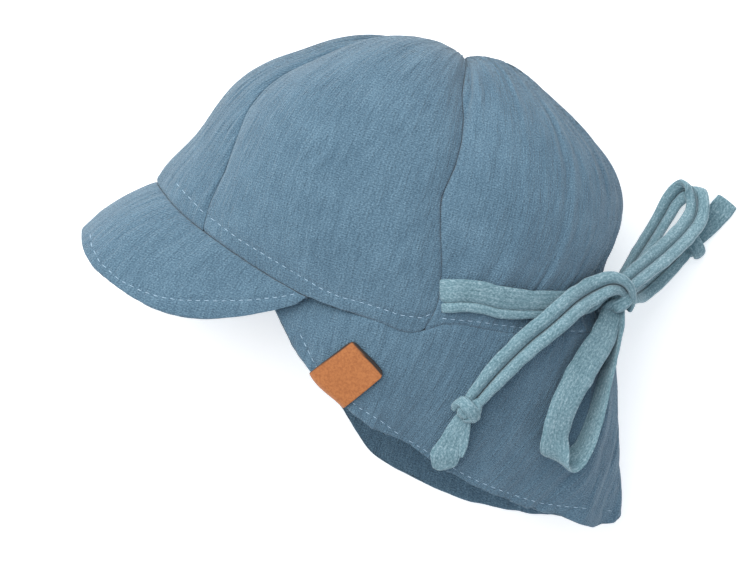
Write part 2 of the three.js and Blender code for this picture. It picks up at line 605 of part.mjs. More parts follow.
// Spots of the tie where it lies round the back of the crown, up to the knot.
function bandSpots(side) {
  const rows = tieBands.filter((row) => side < 0 || row.turn < 160);
  const spots = rows.map((row) => {
    const turn = side > 0 ? row.turn : 360 - row.turn;
    const rimY = crownBase(turn, 0).y;
    const share = tieHeight(turn) / (crownHeight - rimY);
    const climb = share < 0.1 ? share / 0.1 : 1 + (share - 0.1) / 0.18;
    const place = crownPoint(turn, climb, -bandGap - tieThickness / 2);
    const across = crownPoint(turn, climb + 0.1, 0).sub(crownPoint(turn, climb - 0.1, 0)).normalize();
    return { place, across, width: tieWidth * row.wide };
  });
  const across = new THREE.Vector3(0, 1, 0);
  const beside = (dx, dy, dz, wide) => {
    const { x, y, z } = bowKnotPlace;
    return { place: new THREE.Vector3(x + dx, y + dy, z + dz), across, width: tieWidth * wide };
  };
  if (side > 0) return [...spots, beside(-5, -2, 7.5, 0.6), beside(-0.5, 0, 2.5, 0.45)];
  return [...spots, beside(-1.5, -0.5, -3.5, 0.55)];
}

// A strand of tie: its section swept through its spots, from where it comes out of a knot.
function strandGeometry(spots, { groove = 0, thickness = tieThickness, steps = 24, knots = [] } = {}) {
  const line = new THREE.CatmullRomCurve3(spots.map((spot) => spot.place), false, "centripetal");
  const outline = tieSection(groove);
  const ringAt = (share) => {
    const at = share * (spots.length - 1);
    const i = Math.min(Math.floor(at), spots.length - 2);
    const place = line.getPoint(share);
    const along = line.getTangent(share);
    const across = spots[i].across.clone().lerp(spots[i + 1].across, at - i);
    across.addScaledVector(along, -across.dot(along)).normalize();
    const face = new THREE.Vector3().crossVectors(along, across);
    const width = THREE.MathUtils.lerp(spots[i].width, spots[i + 1].width, at - i);
    return outline.map(([a, b]) =>
      place.clone().addScaledVector(across, a * width).addScaledVector(face, b * thickness),
    );
  };
  const isClear = (share) => {
    const ring = ringAt(share);
    const between = ring.map((p, i) => p.clone().lerp(ring[(i + 1) % ring.length], 0.5));
    return [...ring, ...between].every((p) => knots.every((knot) => isOutside(knot, p)));
  };
  const first = spacedFrom(0, 0.5, 101).find(isClear) ?? 0;
  const last = spacedFrom(1, 0.5, 101).find(isClear) ?? 1;
  const rings = spacedFrom(first, last, steps + 1).map(ringAt);
  const count = outline.length;
  const positions = rings.flat().flatMap((p) => [p.x, p.y, p.z]);
  const faces = [];
  for (let r = 0; r < steps; r++) {
    for (let i = 0; i < count; i++) {
      const j = (i + 1) % count;
      const [a, b, c, d] = [r * count + i, r * count + j, (r + 1) * count + j, (r + 1) * count + i];
      faces.push(a, b, c, a, c, d);
    }
  }
  const flat = outline.map(([a, b]) => new THREE.Vector2(a, b));
  const lastRing = steps * count;
  for (const [a, b, c] of THREE.ShapeUtils.triangulateShape(flat, [])) {
    faces.push(a, c, b, lastRing + a, lastRing + b, lastRing + c);
  }
  const geometry = new THREE.BufferGeometry();
  geometry.setAttribute("position", new THREE.Float32BufferAttribute(positions, 3));
  geometry.setIndex(faces);
  return geometry;
}

// A knot of jersey: a ball with the bulges of the strands that are wound round it.
const knotBulge = 0.07;

function knotGeometry({ size, turned, place }) {
  const geometry = new THREE.SphereGeometry(0.5, 14, 9);
  const position = geometry.attributes.position;
  const point = new THREE.Vector3();
  for (let i = 0; i < position.count; i++) {
    point.fromBufferAttribute(position, i);
    const swirl = 3 * Math.atan2(point.z, point.x) + point.y * 7;
    const level = 1 - (2 * point.y) ** 2;
    point.multiplyScalar(1 + knotBulge * Math.max(level, 0) * Math.cos(swirl));
    position.setXYZ(i, point.x * size.across, point.y * size.along, point.z * size.deep);
  }
  return geometry.rotateZ(radians(turned)).translate(place.x, place.y, place.z);
}

// Whether a point is clear of a knot and of the gap round it.
function isOutside({ size, turned, place }, point) {
  const local = point.clone().sub(place).applyAxisAngle(new THREE.Vector3(0, 0, 1), -radians(turned));
  const radius = (length) => (length / 2) * (1 + knotBulge) + knotGap;
  local.divide(new THREE.Vector3(radius(size.across), radius(size.along), radius(size.deep)));
  return local.length() > 1;
}

const gauze = () => new THREE.MeshStandardMaterial({ color: 0x6b8ea6, roughness: 0.95, metalness: 0 });
const jersey = () => new THREE.MeshStandardMaterial({ color: 0x7ea0a8, roughness: 0.92, metalness: 0 });
const tan = () => new THREE.MeshStandardMaterial({ color: 0xc07a44, roughness: 0.7, metalness: 0 });

const hat = new THREE.Group();

function addMesh(name, geometry, material) {
  const mesh = new THREE.Mesh(geometry, material);
  mesh.name = name;
  hat.add(mesh);
  mesh.updateMatrixWorld(true);
  return mesh;
}

const cloth = crownPanels.map((panel) => addMesh(panel.name, crownPanelGeometry(panel), gauze()));
cloth.push(addMesh("peak", peakGeometry(), gauze()));
cloth.push(addMesh("neck_flap", flapGeometry(), gauze()));
addMesh("hem_label", labelGeometry(), tan());

// Knots first: the strands start at them.
const endKnot = { across: endKnotSize, along: endKnotSize, deep: endKnotSize * 0.8 };
function seatedKnot(route, length) {
  const [row] = placed(route, length);
  const resting = heightOver(cloth, row.x, row.y) + endKnot.deep / 2 + restGap;
  const z = row.z ?? resting + tieThickness * row.lift;
  return { size: endKnot, turned: 20, place: new THREE.Vector3(row.x, row.y, z) };
}
const bowKnot = { size: bowKnotSize, turned: -48, place: bowKnotPlace };
const leftEndKnot = seatedKnot(leftEndKnotRoute, leftTailLength);
const rightEndKnot = seatedKnot(rightEndKnotRoute, rightTailLength);
addMesh("bow_knot", knotGeometry(bowKnot), jersey());
addMesh("left_end_knot", knotGeometry(leftEndKnot), jersey());
addMesh("right_end_knot", knotGeometry(rightEndKnot), jersey());

// Left side: the band lies on the crown, and loop and tail lie over it and the flap.
function addStrand(name, spots, options) {
  return addMesh(name, strandGeometry(spots, options), jersey());
}
const leftBand = addStrand("left_tie_band", bandSpots(1), { groove: -0.18, steps: 18, knots: [bowKnot] });
addStrand("right_tie_band", bandSpots(-1), { groove: -0.18, steps: 18, knots: [bowKnot] });
const overBand = [...cloth, leftBand];
const lowerLoop = laidSpots(lowerLoopRoute, lowerLoopLength, overBand);
addStrand("lower_loop", lowerLoop, { groove: 0.05, steps: 34, knots: [bowKnot] });
const leftTail = laidSpots(leftTailRoute, leftTailLength, overBand);
addStrand("left_tail", leftTail, { groove: 0.02, steps: 18, knots: [bowKnot, leftEndKnot] });
const leftTip = laidSpots(leftTipRoute, leftTailLength, cloth);
addStrand("left_tip", leftTip, { steps: 7, knots: [leftEndKnot] });

// Right side: loop and tail slope down to the table behind the hat.
const upperLoop = laidSpots(upperLoopRoute, upperLoopLength, []);
addStrand("upper_loop", upperLoop, { groove: 0.05, steps: 30, knots: [bowKnot] });
const rightTail = laidSpots(rightTailRoute, rightTailLength, []);
addStrand("right_tail", rightTail, { groove: 0.02, steps: 12, knots: [bowKnot, rightEndKnot] });
const rightTip = laidSpots(rightTipRoute, rightTailLength, []);
addStrand("right_tip", rightTip, { steps: 7, knots: [rightEndKnot] });

export default hat;
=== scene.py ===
import bpy
import math
import numpy as np
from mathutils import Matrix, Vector
from mathutils.bvhtree import BVHTree


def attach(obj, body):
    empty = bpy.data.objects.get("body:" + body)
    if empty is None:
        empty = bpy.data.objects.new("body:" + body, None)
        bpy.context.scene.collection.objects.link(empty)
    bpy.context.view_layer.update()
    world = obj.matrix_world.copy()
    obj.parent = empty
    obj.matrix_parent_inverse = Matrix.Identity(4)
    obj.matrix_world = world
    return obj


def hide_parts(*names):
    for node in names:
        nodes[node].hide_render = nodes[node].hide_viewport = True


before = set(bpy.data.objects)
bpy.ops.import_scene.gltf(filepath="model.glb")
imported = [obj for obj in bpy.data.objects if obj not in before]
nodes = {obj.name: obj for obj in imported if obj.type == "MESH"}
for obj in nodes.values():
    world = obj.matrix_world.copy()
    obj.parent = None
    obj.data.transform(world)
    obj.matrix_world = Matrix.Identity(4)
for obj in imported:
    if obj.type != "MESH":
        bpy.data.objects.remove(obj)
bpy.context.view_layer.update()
mm = 0.001

# the photograph leans against the hat's axes; cosine and sine of the angle
leanCos, leanSin = 0.957, 0.289
print("frame loaded,", len(nodes), "nodes")


# selection and modifiers, as by hand
def selectOnly(piece):
    bpy.ops.object.select_all(action="DESELECT")
    piece.select_set(True)
    bpy.context.view_layer.objects.active = piece


def applyModifier(piece, kind, **settings):
    selectOnly(piece)
    modifier = piece.modifiers.new(kind.title(), kind)
    for key, value in settings.items():
        setattr(modifier, key, value)
    bpy.ops.object.modifier_apply(modifier=modifier.name)


def smoothShaded(piece):
    selectOnly(piece)
    bpy.ops.object.shade_smooth()


def getPoints(piece):
    points = np.empty(len(piece.data.vertices) * 3)
    piece.data.vertices.foreach_get("co", points)
    return points.reshape(-1, 3)


def getNormals(piece):
    normals = np.empty(len(piece.data.vertices) * 3)
    piece.data.vertex_normals.foreach_get("vector", normals)
    return normals.reshape(-1, 3)


def setPoints(piece, points):
    piece.data.vertices.foreach_set("co", points.ravel())
    piece.data.update()


def surfaceTree(piece):
    mesh = piece.data
    return BVHTree.FromPolygons([v.co for v in mesh.vertices], [p.vertices for p in mesh.polygons])


def newPiece(name, points, faces):
    mesh = bpy.data.meshes.new(name)
    mesh.from_pydata(points, [], faces)
    piece = bpy.data.objects.new(name, mesh)
    bpy.context.scene.collection.objects.link(piece)
    return piece


# faces turned outwards, then one round of subdivision
def roundedOff(piece):
    selectOnly(piece)
    bpy.ops.object.mode_set(mode="EDIT")
    bpy.ops.mesh.select_all(action="SELECT")
    bpy.ops.mesh.normals_make_consistent(inside=False)
    bpy.ops.object.mode_set(mode="OBJECT")
    applyModifier(piece, "SUBSURF", levels=1, render_levels=1)


# a uv layer in metres that the cloth's pattern follows
def addGrain(piece, name, along, aside):
    grain = piece.data.uv_layers.new(name=name)
    corners = np.empty(len(piece.data.loops), dtype=np.int64)
    piece.data.loops.foreach_get("vertex_index", corners)
    grain.data.foreach_set("uv", np.stack([along, aside], 1)[corners].ravel())


# one at a line, fading to nothing over a length
def fade(distance, length):
    return np.exp(-((distance / length) ** 2))


# share by which points beyond a corner's rounding are drawn back onto it
def cornerPull(beyond, below, radius):
    far = np.hypot(beyond, below)
    return np.where((beyond > 0) & (below > 0) & (far > radius), 1 - radius / np.maximum(far, 1e-9), 0)


# distance in millimetres and angles in degrees by which a node's triangles become quads with creased borders
quads = {"merge": 0.02, "face": 50, "shape": 80, "sharp": 75}


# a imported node's mesh as a new piece, subdivided
def clothFromNode(node, levels, crease):
    piece = nodes[node].copy()
    piece.data = nodes[node].data.copy()
    piece.name = piece.data.name = node + "_cloth"
    for key in list(piece.keys()):
        del piece[key]
    piece.parent = None
    bpy.context.scene.collection.objects.link(piece)
    piece.data.materials.clear()
    selectOnly(piece)
    bpy.ops.mesh.customdata_custom_splitnormals_clear()
    bpy.ops.object.mode_set(mode="EDIT")
    bpy.ops.mesh.select_mode(type="EDGE")
    bpy.ops.mesh.select_all(action="SELECT")
    bpy.ops.mesh.remove_doubles(threshold=quads["merge"] * mm)
    bpy.ops.mesh.tris_convert_to_quads(face_threshold=math.radians(quads["face"]),
                                       shape_threshold=math.radians(quads["shape"]))
    bpy.ops.mesh.select_all(action="DESELECT")
    bpy.ops.mesh.edges_select_sharp(sharpness=math.radians(quads["sharp"]))
    bpy.ops.transform.edge_crease(value=crease)
    bpy.ops.object.mode_set(mode="OBJECT")
    applyModifier(piece, "SUBSURF", levels=levels, render_levels=levels)
    return piece


# seeded value noise over two coordinates, from -1 to 1
lattice = np.random.default_rng(11).uniform(-1, 1, 8192)


def softNoise(a, b, seed=0):
    ia, ib = np.floor(a).astype(np.int64), np.floor(b).astype(np.int64)
    fa, fb = a - ia, b - ib
    fa, fb = fa * fa * (3 - 2 * fa), fb * fb * (3 - 2 * fb)

    def corner(da, db):
        return lattice[((ia + da) * 7919 + (ib + db) * 104729 + seed * 1299709) % 8192]

    low = corner(0, 0) * (1 - fa) + corner(1, 0) * fa
    high = corner(0, 1) * (1 - fa) + corner(1, 1) * fa
    return low * (1 - fb) + high * fb


# camera straight above, turned so that the peak points to the lower left
view = {"turn": math.atan2(leanSin, leanCos), "centre": (-2.1, -14.9, 40), "width": 315, "distance": 9000,
        "sensor": 36, "near": 0.1, "far": 30}


def addCamera():
    bpy.ops.object.camera_add()
    camera = bpy.context.object
    camera.name = "camera_above"
    x, y, z = view["centre"]
    camera.location = (x * mm, y * mm, (z + view["distance"]) * mm)
    camera.rotation_euler = (0, 0, view["turn"])
    camera.data.sensor_width = view["sensor"]
    camera.data.lens = view["sensor"] * view["distance"] / view["width"]
    camera.data.clip_start = view["near"]
    camera.data.clip_end = view["far"]
    bpy.context.scene.camera = camera


# studio: white table that glows a little, even sky, large soft light from the upper left
studio = {
    "floor": 0.94, "glow": 0.49, "world": 0.57, "sky": (0.93, 0.985, 1.07),
    "key": 38.0, "keyTint": (1.0, 0.985, 0.955), "keyAt": (-0.85, 0.62, 1.35), "keySize": 2.1,
}


def addStudio():
    bpy.ops.mesh.primitive_plane_add(size=6, location=(0, 0, -0.0002))
    table = bpy.context.object
    table.name = "white_table"
    paint = bpy.data.materials.new("tableWhite")
    paint.use_nodes = True
    shader = paint.node_tree.nodes["Principled BSDF"]
    shader.inputs["Base Color"].default_value = (studio["floor"],) * 3 + (1,)
    shader.inputs["Roughness"].default_value = 0.8
    shader.inputs["Specular IOR Level"].default_value = 0.1
    shader.inputs["Emission Color"].default_value = (1, 1, 1, 1)
    shader.inputs["Emission Strength"].default_value = studio["glow"]
    table.data.materials.append(paint)
    world = bpy.data.worlds.new("softSky")
    bpy.context.scene.world = world
    world.use_nodes = True
    sky = world.node_tree.nodes["Background"]
    sky.inputs["Color"].default_value = studio["sky"] + (1,)
    sky.inputs["Strength"].default_value = studio["world"]
    bpy.ops.object.light_add(type="AREA", location=studio["keyAt"])
    key = bpy.context.object
    key.name = "key_light"
    key.data.size = studio["keySize"]
    key.data.energy = studio["key"]
    key.data.color = studio["keyTint"]
    aim = Vector((0, 0, 0)) - Vector(studio["keyAt"])
    key.rotation_euler = aim.to_track_quat("-Z", "Y").to_euler()
    bpy.context.scene.view_settings.view_transform = "Standard"


addCamera()
addStudio()
print("camera and studio made")


# material nodes
def nodeMaterial(name):
    material = bpy.data.materials.new(name)
    material.use_nodes = True
    tree = material.node_tree
    return material, tree, tree.nodes["Principled BSDF"]


def addNode(tree, kind, inputs=None, **settings):
    node = tree.nodes.new("ShaderNode" + kind)
    for key, value in settings.items():
        setattr(node, key, value)
    for key, value in (inputs or {}).items():
        if isinstance(value, bpy.types.NodeSocket):
            tree.links.new(value, node.inputs[key])
        else:
            node.inputs[key].default_value = value
    return node


def rampNode(tree, factor, stops):
    ramp = addNode(tree, "ValToRGB", {"Fac": factor})
    elements = ramp.color_ramp.elements
    while len(elements) < len(stops):
        elements.new(0.5)
    for element, (place, colour) in zip(elements, stops):
        element.position = place
        element.color = tuple(colour) + (1,)
    return ramp.outputs["Color"]


def noiseNode(tree, vector, scale, detail, roughness=0.5):
    sockets = {"Vector": vector, "Scale": scale, "Detail": detail, "Roughness": roughness}
    return addNode(tree, "TexNoise", sockets).outputs["Fac"]


# bands of two threads each, for a number of threads to the metre
def bandsNode(tree, vector, direction, threads, distortion, detailScale):
    sockets = {"Vector": vector, "Scale": threads / 6.3, "Distortion": distortion,
               "Detail": 1, "Detail Scale": detailScale}
    return addNode(tree, "TexWave", sockets, bands_direction=direction).outputs["Fac"]


def mathNode(tree, operation, *values):
    return addNode(tree, "Math", dict(enumerate(values)), operation=operation).outputs[0]


# bumps laid one over the other, each with its height, its distance in millimetres and its strength
def addBumps(tree, shader, *bumps):
    below = {}
    for height, (distance, strength) in bumps:
        sockets = {"Height": height, "Distance": distance * mm, "Strength": strength, **below}
        below = {"Normal": addNode(tree, "Bump", sockets).outputs["Normal"]}
    tree.links.new(below["Normal"], shader.inputs["Normal"])


def setSurface(shader, surface):
    for key, value in surface.items():
        shader.inputs[key].default_value = value


# double gauze: threads about half a millimetre apart that the crinkle pulls into fine lines; the crinkle's low
# valleys are also painted darker, as painted shade
gauze = {
    "stops": [(0.34, (0.042, 0.092, 0.142)), (0.5, (0.101, 0.187, 0.259)), (0.66, (0.207, 0.336, 0.432))],
    "threads": 1900, "grain": 1700, "crinkle": 430, "mottle": 45, "drawn": 0.22,
    "shares": {"grain": 0.62, "mottle": 0.12, "crinkle": 0.15}, "start": 0.19, "less": 0.15,
    "crinkleBump": (1.1, 1.0), "weaveBump": (0.22, 0.7), "grainBump": (0.4, 0.7),
    "surface": {"Roughness": 0.95, "Specular IOR Level": 0.2, "Sheen Weight": 0.25, "Sheen Roughness": 0.6},
}


def gauzeMaterial():
    material, tree, shader = nodeMaterial("blueDoubleGauze")
    uv = addNode(tree, "UVMap", uv_map="clothGrain").outputs["UV"]
    stretched = addNode(tree, "Mapping", {"Vector": uv, "Scale": (1, gauze["drawn"], 1)}).outputs["Vector"]
    crinkle = noiseNode(tree, stretched, gauze["crinkle"], 3, 0.6)
    grain = noiseNode(tree, uv, gauze["grain"], 2, 0.7)
    mottle = noiseNode(tree, uv, gauze["mottle"], 3, 0.55)
    warp = bandsNode(tree, uv, "X", gauze["threads"], 1.6, 2)
    weft = bandsNode(tree, uv, "Y", gauze["threads"], 1.6, 2)
    weave = mathNode(tree, "MULTIPLY", warp, weft)
    tone = mathNode(tree, "MULTIPLY_ADD", grain, gauze["shares"]["grain"], gauze["start"])
    tone = mathNode(tree, "MULTIPLY_ADD", mottle, gauze["shares"]["mottle"], tone)
    # painted shade: the same crinkle noise that makes the bumps darkens the colour in its valleys
    tone = mathNode(tree, "MULTIPLY_ADD", crinkle, gauze["shares"]["crinkle"], tone)
    tone = mathNode(tree, "SUBTRACT", tone, gauze["less"])
    tree.links.new(rampNode(tree, tone, gauze["stops"]), shader.inputs["Base Color"])
    setSurface(shader, gauze["surface"])
    addBumps(tree, shader, (crinkle, gauze["crinkleBump"]), (weave, gauze["weaveBump"]),
             (grain, gauze["grainBump"]))
    return material


# melange jersey: wales a millimetre apart along the tie, with pale and dark flecks
jersey = {
    "stops": [(0.32, (0.095, 0.185, 0.218)), (0.5, (0.175, 0.298, 0.348)), (0.70, (0.370, 0.510, 0.562))],
    "wales": 1000, "courses": 1400, "fleck": 1500, "cloud": 200, "drawn": 0.6,
    "shares": {"courses": 0.35, "wales": 0.05, "cloud": 0.2}, "less": 0.125,
    "knitBump": (0.10, 0.6), "fuzzBump": (0.2, 0.4),
    "surface": {"Roughness": 0.92, "Specular IOR Level": 0.2, "Sheen Weight": 0.3, "Sheen Roughness": 0.5},
}


def jerseyMaterial():
    material, tree, shader = nodeMaterial("blueGreenMelangeJersey")
    uv = addNode(tree, "UVMap", uv_map="tieGrain").outputs["UV"]
    drawn = addNode(tree, "Mapping", {"Vector": uv, "Scale": (jersey["drawn"], 1, 1)}).outputs["Vector"]
    fleck = noiseNode(tree, drawn, jersey["fleck"], 3, 0.75)
    cloud = noiseNode(tree, uv, jersey["cloud"], 2)
    wales = bandsNode(tree, uv, "Y", jersey["wales"], 0.8, 3)
    courses = bandsNode(tree, uv, "X", jersey["courses"], 1.2, 3)
    knit = mathNode(tree, "MULTIPLY_ADD", courses, jersey["shares"]["courses"], wales)
    tone = mathNode(tree, "MULTIPLY_ADD", wales, jersey["shares"]["wales"], fleck)
    tone = mathNode(tree, "MULTIPLY_ADD", cloud, jersey["shares"]["cloud"], tone)
    tone = mathNode(tree, "SUBTRACT", tone, jersey["less"])
    tree.links.new(rampNode(tree, tone, jersey["stops"]), shader.inputs["Base Color"])
    setSurface(shader, jersey["surface"])
    addBumps(tree, shader, (knit, jersey["knitBump"]), (fleck, jersey["fuzzBump"]))
    return material


# pebbled tan leather, with dark cut edges told by an attribute
leather = {
    "stops": [(0.36, (0.380, 0.122, 0.032)), (0.6, (0.510, 0.182, 0.052))], "edge": (0.020, 0.012, 0.009),
    "cloud": 900, "pebble": 1500, "pebbleBump": (0.1, 0.35), "surface": {"Roughness": 0.55},
}


def leatherMaterial():
    material, tree, shader = nodeMaterial("tanLeather")
    place = addNode(tree, "TexCoord").outputs["Object"]
    cloud = noiseNode(tree, place, leather["cloud"], 4, 0.7)
    pebble = addNode(tree, "TexVoronoi", {"Vector": place, "Scale": leather["pebble"]})
    edge = addNode(tree, "Attribute", attribute_name="cutEdge")
    mixed = addNode(tree, "Mix", {0: edge.outputs["Fac"]}, data_type="RGBA")
    tree.links.new(rampNode(tree, cloud, leather["stops"]), mixed.inputs[6])
    mixed.inputs[7].default_value = leather["edge"] + (1,)
    tree.links.new(mixed.outputs[2], shader.inputs["Base Color"])
    setSurface(shader, leather["surface"])
    addBumps(tree, shader, (pebble.outputs["Distance"], leather["pebbleBump"]))
    return material


# sewing thread, a little lighter than the gauze
thread = {
    "stops": [(0.3, (0.34, 0.50, 0.64)), (0.7, (0.52, 0.68, 0.82))], "twist": 2600,
    "surface": {"Roughness": 0.6, "Sheen Weight": 0.2},
}


def threadMaterial():
    material, tree, shader = nodeMaterial("paleBlueThread")
    place = addNode(tree, "TexCoord").outputs["Object"]
    twist = noiseNode(tree, place, thread["twist"], 2)
    tree.links.new(rampNode(tree, twist, thread["stops"]), shader.inputs["Base Color"])
    setSurface(shader, thread["surface"])
    return material


gauzeCloth = gauzeMaterial()
jerseyCloth = jerseyMaterial()
tanLeather = leatherMaterial()
paleThread = threadMaterial()
print("materials made")


# points of the photograph, in pixels, as plan points in millimetres
def fromPhoto(points):
    rows = []
    for px, py in points:
        right, up = px - 390, 249 - py
        rows.append(((leanCos * right - leanSin * up) * 0.42, (leanSin * right + leanCos * up) * 0.42))
    return np.array(rows)


# stitch lines in plan; the right side's rim lies under the left's
stitchLines = {
    "rim": fromPhoto([
        (170, 176), (186, 194), (203, 212), (240, 240), (270, 258), (300, 276), (320, 288), (340, 297),
        (360, 302), (380, 308), (400, 315), (422, 318), (432, 313)]),
    "peak": fromPhoto([
        (90, 232), (92, 246), (100, 262), (120, 280), (140, 290), (160, 297), (180, 300), (220, 301),
        (250, 300), (280, 297), (300, 293)]),
    "hem": fromPhoto([
        (300, 333), (308, 350), (316, 366), (336, 389), (360, 408), (380, 420), (400, 435), (420, 447),
        (460, 472), (480, 482), (500, 490), (520, 497), (540, 503), (560, 506), (580, 508), (600, 510),
        (615, 512)]),
    "back": fromPhoto([
        (440, 318), (460, 320), (480, 322), (500, 325), (530, 329), (560, 331), (590, 331)]),
}


# distance to a line in plan, and the length along it, for many points in metres
def besideLine(points, line):
    line = line * mm
    best = np.full(len(points), 1.0)
    along = np.zeros(len(points))
    start = 0.0
    for a, b in zip(line[:-1], line[1:]):
        step = b - a
        length = np.hypot(*step)
        share = np.clip(((points[:, :2] - a) @ step) / length**2, 0, 1)
        distance = np.hypot(*(points[:, :2] - a - share[:, None] * step).T)
        nearer = distance < best
        best[nearer] = distance[nearer]
        along[nearer] = start + share[nearer] * length
        start += length
    return best, along


# how each piece of gauze is crinkled: heights in millimetres, and the stitch lines that draw it in
gauzePieces = {
    "left_side_panel": {"crinkle": 0.16, "broad": 0.5, "lines": ["rim"], "seed": 1, "flat": (0.125, 0.135)},
    "left_back_panel": {"crinkle": 0.34, "broad": 0.5, "lines": ["back"], "seed": 2, "flat": (0.125, 0.135)},
    "right_back_panel": {"crinkle": 0.34, "broad": 0.5, "lines": [], "seed": 3, "flat": (0.125, 0.135)},
    "right_side_panel": {"crinkle": 0.16, "broad": 0.4, "lines": ["rim"], "seed": 4, "flat": (0.125, 0.135)},
    "front_panel": {"crinkle": 0.26, "broad": 0.45, "lines": ["rim"], "seed": 5, "flat": (0.11, 0.135)},
    "peak": {"crinkle": 0.18, "broad": 0.35, "lines": ["peak"], "seed": 6, "flat": (0.19, 0.062)},
    "neck_flap": {"crinkle": 0.26, "broad": 0.6, "lines": ["hem"], "seed": 7, "flat": (0.34, 0.09)},
}


# long soft wrinkles towards the nape: where they begin along X, in metres, and their height in millimetres
napeWrinkles = {
    "neck_flap": (0.06, 0.55), "front_panel": (0.03, 0.8),
    "left_back_panel": (0.03, 0.8), "right_back_panel": (0.03, 0.8),
}

# the crown as it lies, in metres; the rim at the nape is a row of X and a row of Y
crown = {
    "middle": (0.006, 0, 0.042), "toFront": 0.109, "toBack": 0.092, "half": 0.042, "round": 0.082,
    "apex": 0.081,
    "napeRim": ([0.028, 0.057, 0.085, 0.098], [-0.025, -0.0195, -0.011, -0.001]),
}

# crinkle and wrinkles: their lengths across and along, in metres, and what is added to the piece's seed
waves = {
    "wander": (0.02, 0.012, 90), "ridges": (0.0026, 0.024, 0), "fine": (0.0013, 0.009, 20),
    "broad": (0.017, 0.026, 40), "small": (0.006, 0.009, 60), "gathers": (0.0042, 0.05, 70),
    "wrinkles": (0.0036, 0.07, 110), "folds": (0.0085, 0.1, 130),
}

# how much of each is mixed in; gathers, puckers and the stitched groove are heights in millimetres
amounts = {
    "wander": 0.0016, "fine": 0.45, "small": 0.3, "atApex": 2.4, "gathers": 0.75, "folds": 0.8,
    "pucker": 0.10, "stitched": 0.38,
}

# over what lengths they fade, in metres
fades = {
    "apexUp": 0.016, "apexAlong": 0.03, "gathersUp": 0.020, "gathers": 0.013, "nape": 0.03,
    "pucker": 0.0035, "puckerEach": 0.0038, "stitched": 0.0011, "table": 0.0015,
}

# a seam is drawn in and closed: how deep it dips, more below the apex and at the front, and how it laps
seam = {
    "dip": 0.00055, "dipBack": 0.0007, "dipFront": 0.0005, "wide": 0.0012, "lap": 0.00004,
    "frontGap": 0.00012, "held": 0.0007, "eased": 0.0009, "flatWithin": 0.0002, "fullAfter": 0.0016,
    "leastCrinkle": 0.15, "backAlong": (0.015, 0.01), "backUp": (-0.005, 0.01), "backTo": 0.06,
    "frontAlong": -0.025, "frontUp": -0.03,
}

# the flap's corner at the nape: the centre of its rounding in the photograph, and the radius in metres
napeCorner = {"centre": (606, 510), "radius": 0.0065}


# gaps from each point to the next panel's solid, at most 3 mm, and the directions to it
def nearSeam(points, node):
    trees = [surfaceTree(nodes[other]) for other in gauzePieces if other != node]
    gaps = np.full(len(points), 0.003)
    towards = np.zeros((len(points), 3))
    for k, point in enumerate(points):
        for tree in trees:
            spot, _, _, gap = tree.find_nearest(point, gaps[k])
            if spot is not None and gap > 1e-7:
                gaps[k] = gap
                towards[k] = (np.array(spot) - point) / gap
    return gaps, towards


# lengths on the cloth: round the crown from the peak, and up towards the apex
def clothLengths(points, node):
    x, _, z = crown["middle"]
    reach = np.where(points[:, 0] < x, crown["toFront"], crown["toBack"])
    turn = np.arctan2((points[:, 2] - z) / crown["half"], (x - points[:, 0]) / reach)
    if node in ("neck_flap", "left_back_panel", "right_back_panel"):
        turn %= 2 * np.pi
    return turn * crown["round"], points[:, 1]


def crinkleHeight(points, node, across, upwards, settings):
    def wave(name, along=across):
        wide, high, more = waves[name]
        return softNoise(along / wide, upwards / high, settings["seed"] + more)

    atApex = fade(points[:, 1] - crown["apex"], fades["apexUp"])
    atApex = atApex * fade(points[:, 0] - crown["middle"][0], fades["apexAlong"])
    wandered = across + amounts["wander"] * wave("wander")
    lines = wave("ridges", wandered) + amounts["fine"] * wave("fine", wandered)
    height = settings["crinkle"] * lines * (1 + amounts["atApex"] * atApex)
    broad = wave("broad")
    height += settings["broad"] * (broad + amounts["small"] * wave("small"))
    if node.endswith("back_panel"):
        # gathers where the ties draw the crown in
        above = points[:, 1] - np.interp(points[:, 0], *crown["napeRim"]) - fades["gathersUp"]
        height += amounts["gathers"] * fade(above, fades["gathers"]) * wave("gathers")
    if node in napeWrinkles:
        start, most = napeWrinkles[node]
        toNape = np.clip((points[:, 0] - start) / fades["nape"], 0, 1)
        height += most * toNape * (wave("wrinkles") + amounts["folds"] * wave("folds"))
    for name in settings["lines"]:
        distance, along = besideLine(points, stitchLines[name])
        pucker = fade(distance, fades["pucker"]) * np.cos(2 * np.pi * along / fades["puckerEach"] + 2 * broad)
        height += amounts["pucker"] * pucker - amounts["stitched"] * fade(distance, fades["stitched"])
    return height


def closeSeams(points, node, gaps, towards):
    outward = points - np.array(crown["middle"])
    outward /= np.linalg.norm(outward, axis=1, keepdims=True)
    outward -= towards * (outward * towards).sum(1, keepdims=True)
    x, y = points[:, 0], points[:, 1]
    sideToBack, up = (np.clip((at - start) / length, 0, 1)
                      for at, (start, length) in ((x, seam["backAlong"]), (y, seam["backUp"])))
    sideToBack = sideToBack * up
    sideToFront = (x < seam["frontAlong"]) & (y > seam["frontUp"]) & (node in ("front_panel", "left_side_panel"))
    dip = seam["dip"] + seam["dipBack"] * sideToBack * (x < seam["backTo"]) + seam["dipFront"] * sideToFront
    dip = dip * fade(gaps, seam["wide"])
    close = (gaps + seam["lap"] - seam["frontGap"] * sideToFront) * 0.5
    close = close * fade(np.maximum(gaps - seam["held"], 0), seam["eased"])
    points += towards * close[:, None] - outward * dip[:, None]


def roundNapeCorner(points):
    centre = fromPhoto([napeCorner["centre"]])[0] * mm
    right, down = np.array([leanCos, leanSin]), np.array([leanSin, -leanCos])
    beyond = np.maximum((points[:, :2] - centre) @ right, 0)
    below = np.maximum((points[:, :2] - centre) @ down, 0)
    pull = cornerPull(beyond, below, napeCorner["radius"])
    points[:, :2] -= np.outer(beyond * pull, right) + np.outer(below * pull, down)


